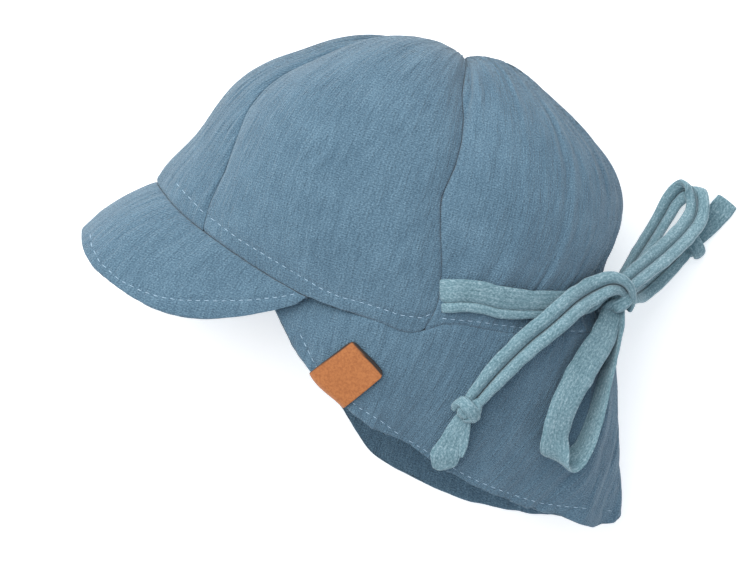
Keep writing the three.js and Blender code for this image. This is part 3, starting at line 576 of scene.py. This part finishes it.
def crinkledGauze(node, settings):
    piece = clothFromNode(node, 3, 0.9)
    points, normals = getPoints(piece), getNormals(piece)
    across, upwards = clothLengths(points, node)
    height = crinkleHeight(points, node, across, upwards, settings)
    gaps, towards = nearSeam(points, node)
    height *= np.clip((gaps - seam["flatWithin"]) / seam["fullAfter"], seam["leastCrinkle"], 1)
    closeSeams(points, node, gaps, towards)
    if node == "neck_flap":
        roundNapeCorner(points)
    onTable = np.clip(points[:, 2] / fades["table"], 0, 1)
    moved = points + normals * (height * onTable * mm)[:, None]
    moved[:, 2] = np.maximum(moved[:, 2], 0.0)
    setPoints(piece, moved)
    addGrain(piece, "clothGrain", across, upwards)
    piece.data.materials.append(gauzeCloth)
    smoothShaded(piece)
    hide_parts(node)
    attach(piece, "root")
    return piece


cloths = {node: crinkledGauze(node, settings) for node, settings in gauzePieces.items()}
print("gauze pieces crinkled")


# ties: rows of x, y, z, the direction of the strip's width and that width, from its knot or seam on;
# grooves lie between the rolls of the folded strip, as shares of its width, and are deep by a share of its thickness
strands = {
    "left_tie_band": {
        "grooves": [-0.2], "deep": 0.7, "thick": 2.3, "flat": (0.014, 0.085), "held": "stretched",
        "rows": [
            (25.7, -12.9, 83.4, -0.27, 0.95, 0.18, 13.8), (28.6, -11.9, 85.2, -0.27, 0.95, 0.18, 14),
            (31, -11.2, 85.9, -0.27, 0.95, 0.18, 14), (35, -9.8, 85.5, -0.27, 0.94, 0.21, 14),
            (42.3, -8.4, 84.1, -0.02, 0.98, 0.18, 13.9), (50.2, -8, 81.8, -0.05, 0.98, 0.18, 13.5),
            (58.7, -6.4, 78.4, -0.15, 0.97, 0.2, 13.1), (66.8, -4.2, 74.1, -0.17, 0.97, 0.18, 12.6),
            (74.2, -1.8, 69.1, -0.22, 0.96, 0.16, 12), (80.4, 0.4, 63.6, -0.23, 0.96, 0.13, 11.5),
            (85.6, 3.3, 59.3, -0.58, 0.78, 0.26, 10.6), (89.8, 7.8, 57.2, -0.67, 0.71, 0.23, 8.3),
            (93.1, 10.1, 54.2, -0.16, 0.97, 0.19, 6.7)]},
    "right_tie_band": {
        "grooves": [-0.17], "deep": 0.9, "thick": 2.0, "flat": (0.014, 0.085), "held": "stretched",
        "rows": [
            (24.6, -13.2, 1.5, -0.3, 0.96, 0, 13.2), (27.9, -12, 1.4, -0.3, 0.96, 0, 14),
            (36.3, -9.2, 1.4, -0.27, 0.96, 0, 14), (45.4, -8.1, 1.5, -0.02, 1, -0.07, 13.7),
            (55.3, -7, 3.3, -0.16, 0.98, -0.13, 13.3), (65.3, -4.5, 7.9, -0.2, 0.97, -0.13, 12.7),
            (74.4, -1.7, 13.3, -0.25, 0.96, -0.12, 12), (81.8, 1.2, 18.9, -0.3, 0.94, -0.14, 11.3),
            (87.3, 4.2, 25.3, -0.34, 0.92, -0.19, 10.7), (90.4, 7, 32, -0.33, 0.9, -0.29, 10.1),
            (91.2, 9.2, 38.1, -0.33, 0.93, -0.18, 9.5), (93.7, 10.3, 44.2, -0.11, 0.99, -0.08, 7.6),
            (95, 10.8, 47, -0.11, 0.99, -0.08, 6.5)]},
    "lower_loop": {
        "grooves": [], "deep": 0, "thick": 2.1, "flat": (0.0125, 0.165), "held": "hung",
        "rows": [
            (96.6, 8.4, 49.5, -0.96, -0.07, 0.29, 7.5), (97.2, 3.5, 50.6, -0.96, -0.02, 0.29, 9.5),
            (96.8, -2.9, 53.6, -0.9, 0.25, 0.31, 11), (96, -11.1, 58.6, -0.88, 0.34, 0.33, 12.4),
            (93.7, -18.6, 61.8, -0.92, 0.28, 0.29, 12.8), (91.8, -26, 63.7, -0.94, 0.25, 0.22, 12.8),
            (90.1, -33.6, 65.1, -0.94, 0.25, 0.2, 12.6), (88.9, -41.2, 66.2, -0.93, 0.2, 0.3, 12.2),
            (88.6, -48.5, 66.5, -0.9, 0.1, 0.4, 12), (89, -55.5, 65.6, -0.92, -0.06, 0.3, 12),
            (90.6, -61.2, 63.6, -0.95, -0.22, -0.05, 12.4), (93.4, -64.2, 60.2, -0.84, 0.15, -0.5, 12.6),
            (96.9, -64.4, 57.0, -0.74, 0.5, -0.45, 12.7), (100.1, -61.0, 54.9, -0.7, 0.4, -0.58, 12.5),
            (102, -55.4, 54.3, -0.68, 0.12, -0.72, 12.3), (102.6, -49, 54.2, -0.66, -0.05, -0.74, 12.1),
            (102.6, -41.6, 54.0, -0.64, -0.08, -0.76, 11.9), (102.4, -33.5, 53.4, -0.6, -0.04, -0.8, 11.6),
            (102.2, -25.5, 52.6, -0.56, 0, -0.83, 11.1), (102, -17.6, 51.4, -0.5, 0, -0.86, 10.5),
            (101.8, -9.2, 50.4, -0.46, 0, -0.88, 9.6), (101, -1, 49.8, -0.48, -0.1, -0.86, 8.3),
            (99.2, 5.4, 49.7, -0.55, -0.08, -0.83, 6.7), (97.6, 9, 49.6, -0.6, -0.08, -0.78, 6)]},
    "left_tail": {
        "grooves": [0.03], "deep": 1.15, "thick": 4.0, "flat": (0.0125, 0.115), "held": "laid",
        "rows": [
            (102.6, 4.4, 47.0, -0.8, -0.3, -0.52, 4.6), (102.6, 8.2, 51.4, -0.8, -0.38, -0.46, 5.6),
            (100.6, 11.6, 55.6, -0.7, -0.62, -0.35, 7.2), (97.2, 13.4, 58.6, -0.3, -0.94, -0.18, 8.8),
            (93.1, 13.0, 60.9, 0.28, -0.95, 0.05, 10.4), (89.4, 10.6, 62.4, 0.6, -0.79, 0.1, 11.4),
            (85.1, 6.5, 65.2, 0.67, -0.74, 0, 12.2), (80.6, 0.9, 70.9, 0.76, -0.64, -0.05, 12.6),
            (76.5, -5.8, 75.4, 0.82, -0.57, -0.01, 12.7), (72.4, -12.3, 77.0, 0.83, -0.56, 0, 12.5),
            (67.5, -19.4, 76.3, 0.84, -0.54, 0, 12), (62.8, -27.5, 77.2, 0.87, -0.48, 0, 11.6),
            (58.5, -35.6, 77.7, 0.9, -0.44, 0, 11), (55.1, -43.1, 77.4, 0.92, -0.39, 0, 10.2),
            (52.5, -49.1, 77, 0.92, -0.4, 0, 8.8), (50.9, -53.0, 76.6, 0.92, -0.4, 0, 7)]},
    "left_tip": {
        "grooves": [], "deep": 0, "thick": 2.4, "flat": (0.0125, 0.03), "held": "laid",
        "rows": [
            (50.2, -57, 74.6, 0.99, -0.14, -0.01, 6.2), (49.2, -60.6, 73.9, 0.99, -0.14, -0.01, 7.2),
            (48.4, -65, 72.6, 0.99, -0.14, -0.01, 8.6), (47.9, -70.3, 70.8, 0.99, -0.1, 0, 10.4),
            (47.4, -74.6, 69.2, 1, -0.02, 0.01, 12.4), (46.6, -77.9, 67.9, 0.98, 0.14, -0.01, 12.8),
            (45.9, -80.0, 66.9, 0.94, 0.26, -0.04, 9.4), (44.9, -82.9, 65.4, 0.9, 0.36, -0.04, 3.2)]},
    "upper_loop": {
        "grooves": [0.02], "deep": 0.95, "thick": 3.4, "both": True, "flat": (0.0125, 0.13), "held": "hung",
        "rows": [
            (96.6, 12.0, 52.0, -0.9, 0.36, -0.2, 8), (100.4, 16.6, 50.4, -0.91, 0.34, -0.25, 9.6),
            (103, 20.6, 46.3, -0.91, 0.33, -0.25, 10.4), (106.3, 25.3, 40.7, -0.91, 0.32, -0.28, 11),
            (109.9, 30.5, 34.8, -0.92, 0.26, -0.3, 11.3), (113.3, 36.1, 28.6, -0.93, 0.21, -0.29, 11.3),
            (116.3, 41.7, 22.6, -0.94, 0.17, -0.29, 11.2), (118.5, 47.1, 17.2, -0.97, 0.05, -0.23, 11),
            (119.3, 51.5, 13.2, -0.99, -0.07, -0.14, 10.7), (118.6, 55.9, 10.3, -0.95, -0.32, -0.04, 10.4),
            (116.6, 59.6, 8.1, -0.79, -0.45, 0.41, 10.3), (113.8, 61, 6.4, -0.54, 0.12, 0.84, 10.3),
            (110.7, 58.9, 5.2, -0.8, 0.56, -0.2, 10.1), (108, 53.6, 5.6, -0.89, 0.23, -0.39, 9.6),
            (106.5, 47.2, 8.0, -0.93, -0.01, -0.37, 9.2), (105.1, 41.6, 11.7, -0.95, -0.04, -0.31, 9),
            (103.7, 36.3, 16.4, -0.96, -0.02, -0.29, 8.8), (102, 30.7, 22.7, -0.96, -0.02, -0.27, 8.6),
            (100.2, 24.9, 30, -0.97, -0.05, -0.26, 8), (98.8, 19.6, 37.5, -0.98, -0.04, -0.18, 7.3),
            (97.4, 14.8, 45.7, -0.99, -0.02, -0.16, 6)]},
    "right_tail": {
        "grooves": [0.02], "deep": 0.8, "thick": 3.0, "flat": (0.0125, 0.055), "held": "hung",
        "rows": [
            (98.6, 9.6, 48.6, -0.47, 0.86, -0.19, 6.4), (101.2, 10.6, 45.4, -0.47, 0.86, -0.19, 7.2),
            (103.4, 11.4, 40.7, -0.49, 0.87, -0.07, 8.2), (105.3, 12.4, 33.6, -0.65, 0.76, 0, 9),
            (107.2, 14.6, 27.1, -0.82, 0.57, -0.05, 9.6), (109.6, 18.1, 21.9, -0.87, 0.48, -0.09, 9.7),
            (112, 21.9, 17.3, -0.89, 0.44, -0.1, 9.4), (114.3, 26, 13.2, -0.9, 0.42, -0.1, 8.9),
            (116.4, 29.8, 10, -0.91, 0.41, -0.07, 8.4), (118.4, 33.6, 7.9, -0.89, 0.45, -0.06, 7.6),
            (119.4, 35.8, 7.0, -0.89, 0.45, -0.06, 6.8)]},
    "right_tip": {
        "grooves": [], "deep": 0, "thick": 2.2, "flat": (0.0125, 0.024), "held": "laid",
        "rows": [
            (121.8, 40, 4.4, -0.91, 0.42, -0.04, 6.6), (123.3, 43, 3.6, -0.91, 0.42, -0.04, 7.4),
            (125, 46.7, 2.7, -0.92, 0.39, -0.02, 8.6), (126.8, 51, 2, -0.93, 0.38, 0, 9.6),
            (128.7, 55.8, 1.6, -0.93, 0.36, 0, 10), (130.7, 60.9, 1.5, -0.93, 0.37, 0, 10)]},
}

# the second leaf of the left tip, beside and a little below the first
leftTipLeaf = [
    (50.9, -57.5, 75.0, 0.98, 0.1, 0.1, 3.4), (51.8, -61.6, 73.9, 0.97, 0.15, 0.15, 4.0),
    (52.5, -66.2, 72.9, 0.96, 0.17, 0.2, 4.2), (53.2, -70.8, 71.8, 0.96, 0.17, 0.2, 3.6),
    (53.7, -75, 70.7, 0.97, 0.15, 0.15, 1.6)]


# points round a roll, alone or beside others, and the powers that make its outer and inner halves full
roll = {"alone": 20, "beside": 12, "outer": 0.6, "inner": 0.85}


# section of a strip of folded jersey: flat below or rolled on both faces, with one or more soft rolls above
def tieOutline(grooves, deep, both):
    edges = [-0.5] + list(grooves) + [0.5]
    rolls = list(zip(edges[:-1], edges[1:]))
    count = roll["beside"] if len(rolls) > 1 else roll["alone"]
    over = []
    for first, last in reversed(rolls):
        middle, half = (first + last) / 2, (last - first) / 2
        for k in range(count + 1):
            angle = math.pi * k / count
            outer = (math.cos(angle) >= 0 and last == 0.5) or (math.cos(angle) < 0 and first == -0.5)
            low = 0.0 if outer else 0.5 - deep
            rise = low + (0.5 - low) * max(math.sin(angle), 0) ** roll["outer" if outer else "inner"]
            over.append((middle + half * math.cos(angle), rise))
    if both:
        under = [(a, -b) for a, b in reversed(over)][1:-1]
    else:
        under = [(a, -0.5 * (1 - abs(2 * a) ** 6)) for a in np.linspace(-0.5, 0.5, 11)[1:-1]]
    return np.array(under + over)


# the rows of a strand at even steps along it, on a smooth curve through them
def alongRows(rows, count, spaced):
    at = np.linspace(0, spaced[-1], count)
    ring = np.clip(np.searchsorted(spaced, at, side="right") - 1, 0, len(rows) - 2)
    share = ((at - spaced[ring]) / (spaced[ring + 1] - spaced[ring]))[:, None]
    padded = np.vstack([2 * rows[0] - rows[1], rows, 2 * rows[-1] - rows[-2]])
    p0, p1, p2, p3 = (padded[ring + k] for k in range(4))
    return at, 0.5 * (2 * p1 + (p2 - p0) * share + (2 * p0 - 5 * p1 + 4 * p2 - p3) * share**2
                      + (3 * p1 - p0 - 3 * p2 + p3) * share**3)


# how a strip wavers along its length: steps, lengths and heights in millimetres
waver = {
    "step": 0.9, "ripple": 0.05, "rippleEach": 4.5, "wave": 0.25, "waveEach": 7, "waveShare": 0.4,
    "slack": 0.13, "slackEach": 2.4, "atEnds": 1.6, "ends": 7, "blunt": 0.9, "leastBlunt": 0.25,
    "narrow": 0.45, "narrowBy": 16, "overTable": 0.05,
}


def sweptStrand(name, rows, grooves, deep, thick, seed, both=False):
    rows = np.array(rows, dtype=float)
    spaced = np.concatenate([[0], np.cumsum(np.linalg.norm(np.diff(rows[:, :3], axis=0), axis=1))])
    count = max(int(spaced[-1] / waver["step"]), 8)
    at, line = alongRows(rows, count, spaced)
    places, across, width = line[:, :3], line[:, 3:6], line[:, 6]
    along = np.gradient(places, axis=0)
    along /= np.linalg.norm(along, axis=1, keepdims=True)
    across = across - (across * along).sum(1, keepdims=True) * along
    across /= np.linalg.norm(across, axis=1, keepdims=True)
    facing = np.cross(along, across)
    outline = tieOutline(grooves, deep, both)
    toEnd = np.minimum(at, spaced[-1] - at)
    ripple = 1 + waver["ripple"] * softNoise(at / waver["rippleEach"], at * 0, seed)
    wave = waver["wave"] * softNoise(at / waver["waveEach"], at * 0 + 5, seed + 1)
    atEnds = 1 + waver["atEnds"] * fade(toEnd, waver["ends"])
    far, side = at[:, None], outline[None, :, 0]
    loose = softNoise(far / waver["slackEach"] + side * 2.5, side * 3 + 0 * far, seed + 2)
    slack = (waver["slack"] * atEnds[:, None]) * loose
    blunt = np.clip(toEnd / waver["blunt"], waver["leastBlunt"], 1) ** 0.5
    squash = np.minimum(1, waver["narrow"] + width / waver["narrowBy"])
    aside = side * (width * ripple)[:, None]
    rise = outline[None, :, 1] * (thick * blunt * squash)[:, None]
    rise = rise + wave[:, None] * waver["waveShare"] + slack
    points = places[:, None, :] + across[:, None, :] * aside[..., None] + facing[:, None, :] * rise[..., None]
    points[..., 2] = np.maximum(points[..., 2], waver["overTable"])
    size = len(outline)
    faces = [(r * size + i, r * size + (i + 1) % size, (r + 1) * size + (i + 1) % size, (r + 1) * size + i)
             for r in range(count - 1) for i in range(size)]
    faces += [tuple(reversed(range(size))), tuple((count - 1) * size + i for i in range(size))]
    piece = newPiece(name, (points.reshape(-1, 3) * mm).tolist(), faces)
    mesh = piece.data
    around = np.concatenate([[0], np.cumsum(np.hypot(*(np.diff(outline, axis=0) * (width.mean(), thick)).T))])
    grain = mesh.uv_layers.new(name="tieGrain")
    for polygon in mesh.polygons:
        if len(polygon.vertices) > 4:
            continue
        wraps = {v % size for v in polygon.vertices} == {0, size - 1}
        for corner in polygon.loop_indices:
            vertex = mesh.loops[corner].vertex_index
            t = around[-1] + 0.8 if wraps and vertex % size == 0 else around[vertex % size]
            grain.data[corner].uv = (at[vertex // size] * mm, t * mm)
    roundedOff(piece)
    mesh.materials.append(jerseyCloth)
    smoothShaded(piece)
    return piece


def joined(first, *others):
    selectOnly(first)
    for other in others:
        other.select_set(True)
    bpy.ops.object.join()
    return first


for seed, (node, settings) in enumerate(strands.items()):
    piece = sweptStrand(node + "_jersey", settings["rows"], settings["grooves"], settings["deep"],
                        settings["thick"], 200 + 10 * seed, settings.get("both", False))
    if node == "left_tip":
        joined(piece, sweptStrand("left_tip_leaf", leftTipLeaf, [], 0, 1.8, 290))
    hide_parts(node)
    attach(piece, "root")
print("ties swept")


# knots: a core of jersey from the node, with the strands that are wound round it
knots = {
    "bow_knot": {"creases": 3, "seed": 300, "swell": 0.0, "draw": 1.0, "wraps": [
        {"thick": 3.4, "rows": [
            (92.6, 3.8, 47, 0.85, 0.2, 0.3, 6), (95, 3.6, 52.2, 0.9, 0.2, 0.2, 6.5),
            (98.8, 5.2, 55, 0.6, -0.75, 0.1, 6.5), (101.6, 9, 53.4, 0.4, -0.85, 0.1, 6),
            (102.4, 13.6, 49.4, 0.7, -0.6, 0.2, 5)]},
    ]},
    "left_end_knot": {"creases": 3, "seed": 301, "swell": -1.0, "draw": 0.78, "wraps": [
        {"thick": 4.4, "rows": [
            (44.6, -57.0, 74.0, 0.6, 0.8, 0, 5.2), (44.4, -53.6, 77.2, 0.62, 0.78, 0, 6),
            (46.8, -51.6, 80.0, 0.55, 0.8, 0.1, 6.6), (50.2, -53.6, 81.6, 0.6, 0.78, 0, 7),
            (53.6, -55.6, 80.4, 0.66, 0.74, 0, 6.8), (55.6, -57.8, 77.2, 0.66, 0.74, 0, 6),
            (55.2, -59, 74, 0.66, 0.74, 0, 5)]},
        {"thick": 4.0, "rows": [
            (52.6, -48.6, 75.8, -0.75, -0.62, 0, 5), (54.6, -51.4, 78.0, -0.75, -0.62, 0, 5.6),
            (55.2, -54.6, 78.6, -0.9, -0.3, 0, 5.6), (53.6, -58.6, 77.2, -0.9, 0.3, 0, 5.6),
            (49.8, -60.2, 75.4, -0.3, 0.95, 0, 5)]},
    ]},
    "right_end_knot": {"creases": 3, "seed": 302, "swell": -0.4, "draw": 0.95, "wraps": [
        {"thick": 4.2, "rows": [
            (116.0, 40.6, 3.6, 0.5, 0.85, 0, 5), (117.4, 42.6, 6.6, 0.5, 0.85, 0, 6),
            (120.4, 41, 9.8, 0.55, 0.83, 0, 6.8), (123.4, 38.4, 9.2, 0.6, 0.8, 0, 6.6),
            (125.4, 36, 6.0, 0.6, 0.8, 0, 6), (125, 34.8, 3.4, 0.6, 0.8, 0, 5)]},
    ]},
}

# a knot's creases: height, lift and softness in millimetres, and how far they turn along it
crease = {
    "deep": 0.5, "lift": 0.3, "twist": 420, "soft": 0.25, "softEach": 0.002, "round": 0.005, "wrapFold": 0.6,
}


# a wrap's rows, drawn in towards the middle of its knot
def drawnIn(rows, middle, share):
    rows = np.array(rows, dtype=float)
    rows[:, :3] = middle + (rows[:, :3] - middle) * share
    rows[:, 6] *= share
    return rows


def knotPiece(node, settings):
    piece = clothFromNode(node, 2, 0)
    points, normals = getPoints(piece), getNormals(piece)
    middle = (points.min(0) + points.max(0)) / 2
    local = points - middle
    turn = np.arctan2(local[:, 2], local[:, 0])
    creased = np.abs(np.sin(turn * settings["creases"] / 2 + local[:, 1] * crease["twist"])) ** 0.5
    height = settings["swell"] - crease["deep"] * creased + crease["lift"]
    height += crease["soft"] * softNoise(turn * 3, local[:, 1] / crease["softEach"], settings["seed"])
    setPoints(piece, points + normals * (height * mm)[:, None])
    addGrain(piece, "tieGrain", local[:, 1], turn * crease["round"])
    piece.data.materials.append(jerseyCloth)
    smoothShaded(piece)
    wraps = []
    for k, wrap in enumerate(settings["wraps"]):
        rows = drawnIn(wrap["rows"], middle * 1000, settings["draw"])
        wraps.append(sweptStrand(node + "_wrap", rows, [], crease["wrapFold"], wrap["thick"],
                                 settings["seed"] + 10 * k))
    joined(piece, *wraps)
    piece.name = piece.data.name = node + "_jersey"
    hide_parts(node)
    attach(piece, "root")
    return piece


for node, settings in knots.items():
    knotPiece(node, settings)
print("knots made")


# label: the node's strip with rounded corners, dark where its side and end are cut; its corners in plan are
# the hem's left and lower one, then the free end's upper and right one, as made in the node and as laid
label = {
    "made": fromPhoto([(309, 372.4), (344, 408), (337, 340), (378, 365)]),
    "laid": fromPhoto([(310, 372), (344, 407), (353, 340), (384, 374)]),
    "corner": 1.5, "end": 1.0, "endFade": 0.3, "side": 0.5, "sideFade": 0.2, "lift": 0.0002, "fromHem": 0.1,
    "mostRise": 0.012,
}


# points from their shares of the way between four corners
def insideCorners(u, v, corners):
    left, lower, upper, right = corners
    u, v = u[:, None], v[:, None]
    return (1 - u) * (1 - v) * left + u * (1 - v) * lower + (1 - u) * v * upper + u * v * right


# and the shares from the points
def shareOfCorners(spots, corners):
    left, lower, upper, right = corners
    u, v = np.full(len(spots), 0.5), np.full(len(spots), 0.5)
    for _ in range(6):
        alongU = np.outer(1 - v, lower - left) + np.outer(v, right - upper)
        alongV = np.outer(1 - u, upper - left) + np.outer(u, right - lower)
        miss = spots - insideCorners(u, v, corners)
        area = alongU[:, 0] * alongV[:, 1] - alongU[:, 1] * alongV[:, 0]
        u = u + (miss[:, 0] * alongV[:, 1] - miss[:, 1] * alongV[:, 0]) / area
        v = v + (alongU[:, 0] * miss[:, 1] - alongU[:, 1] * miss[:, 0]) / area
    return u, v


def labelPiece():
    piece = clothFromNode("hem_label", 3, 0.9)
    piece.name = piece.data.name = "hem_label_leather"
    points = getPoints(piece)
    made = label["made"] * mm
    u, v = shareOfCorners(points[:, :2], made)
    width, height = np.hypot(*(made[1] - made[0])), np.hypot(*(made[2] - made[0]))
    radius = label["corner"] * mm
    beyond = np.maximum(np.abs(u - 0.5) * width - (width / 2 - radius), 0)
    over = np.maximum((v - 1) * height + radius, 0)
    pull = cornerPull(beyond, over, radius)
    u -= np.sign(u - 0.5) * beyond * pull / width
    v -= over * pull / height
    laid = insideCorners(u, v, label["laid"] * mm)
    # how much higher the flap is where the label lies than under the node's strip, fitted as a smooth rise
    tree = surfaceTree(cloths["neck_flap"])
    rises, shares = [], []
    for point, (x, y), a, b in zip(points, laid, u, v):
        old, new = (tree.ray_cast(Vector((px, py, 0.2)), Vector((0, 0, -1)))[0]
                    for px, py in (point[:2], (x, y)))
        if old is None or new is None or b <= label["fromHem"] or abs(new.z - old.z) >= label["mostRise"]:
            continue
        rises.append(new.z - old.z)
        shares.append((b, a * b, b * b, a * b * b, a * a * b))
    fit = np.linalg.lstsq(np.array(shares), np.array(rises), rcond=None)[0]
    points[:, 2] += np.stack([v, u * v, v * v, u * v * v, u * u * v], 1) @ fit + label["lift"] * v
    points[:, :2] = laid
    setPoints(piece, points)
    atEnd = np.clip((v - 1 + label["end"] * mm / height) * height / (label["endFade"] * mm), 0, 1)
    atSide = np.clip((label["side"] * mm / width - u) * width / (label["sideFade"] * mm), 0, 1)
    edge = np.maximum(atEnd, atSide)
    cut = piece.data.attributes.new("cutEdge", "FLOAT", "POINT")
    cut.data.foreach_set("value", edge)
    piece.data.materials.append(tanLeather)
    smoothShaded(piece)
    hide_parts("hem_label")
    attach(piece, "root")


labelPiece()
print("label made")


# topstitches: short threads along the stitch lines, seated on the cloth from above or below; millimetres
stitch = {
    "pitch": 3.6, "length": 2.5, "thick": 0.42, "first": 0.5, "last": 3, "longest": 4, "sides": 6,
    "sizes": (0.35, 1, 0.35), "lifts": (-0.12, 0.16, -0.12),
}


# three spots on the cloth along one stitch, or fewer where the cloth ends
def stitchSpots(start, spaced, line, tree, below):
    spots = []
    for part in (0, 0.5, 1):
        at = start + part * stitch["length"] * mm
        x, y = np.interp(at, spaced, line[:, 0]), np.interp(at, spaced, line[:, 1])
        origin = Vector((x, y, -0.01 if below else 0.2))
        hit, normal, _, _ = tree.ray_cast(origin, Vector((0, 0, 1 if below else -1)))
        if hit is None:
            break
        spots.append((hit, normal))
    return spots


def sewnLine(name, line, cloth, below=False):
    tree = surfaceTree(cloth)
    line = line * mm
    spaced = np.concatenate([[0], np.cumsum(np.linalg.norm(np.diff(line, axis=0), axis=1))])
    starts = np.arange(stitch["first"] * mm, spaced[-1] - stitch["last"] * mm, stitch["pitch"] * mm)
    corners, faces = [], []
    sides = stitch["sides"]
    for start in starts:
        spots = stitchSpots(start, spaced, line, tree, below)
        if len(spots) < 3 or (spots[2][0] - spots[0][0]).length > stitch["longest"] * mm:
            continue
        base = len(corners)
        along = (spots[2][0] - spots[0][0]).normalized()
        for (hit, normal), size, lift in zip(spots, stitch["sizes"], stitch["lifts"]):
            aside = along.cross(normal).normalized()
            middle = hit + normal * lift * mm
            for k in range(sides):
                angle = k * math.pi / 3
                around = aside * math.cos(angle) + normal * math.sin(angle)
                corners.append(middle + around * size * stitch["thick"] / 2 * mm)
        for low in (base, base + sides):
            for k in range(sides):
                after = (k + 1) % sides
                faces.append((low + k, low + after, low + sides + after, low + sides + k))
        faces.append(tuple(base + k for k in reversed(range(sides))))
        faces.append(tuple(base + 2 * sides + k for k in range(sides)))
    piece = newPiece(name, [tuple(c) for c in corners], faces)
    roundedOff(piece)
    piece.data.materials.append(paleThread)
    smoothShaded(piece)
    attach(piece, "root")


sewnLine("left_rim_stitches", stitchLines["rim"][2:], cloths["left_side_panel"])
sewnLine("front_rim_stitches", stitchLines["rim"][:4], cloths["front_panel"])
sewnLine("right_rim_stitches", stitchLines["rim"][2:], cloths["right_side_panel"], below=True)
sewnLine("peak_stitches", stitchLines["peak"], cloths["peak"])
sewnLine("hem_stitches", stitchLines["hem"], cloths["neck_flap"])
sewnLine("back_rim_stitches", stitchLines["back"], cloths["left_back_panel"])
print("stitches sewn")
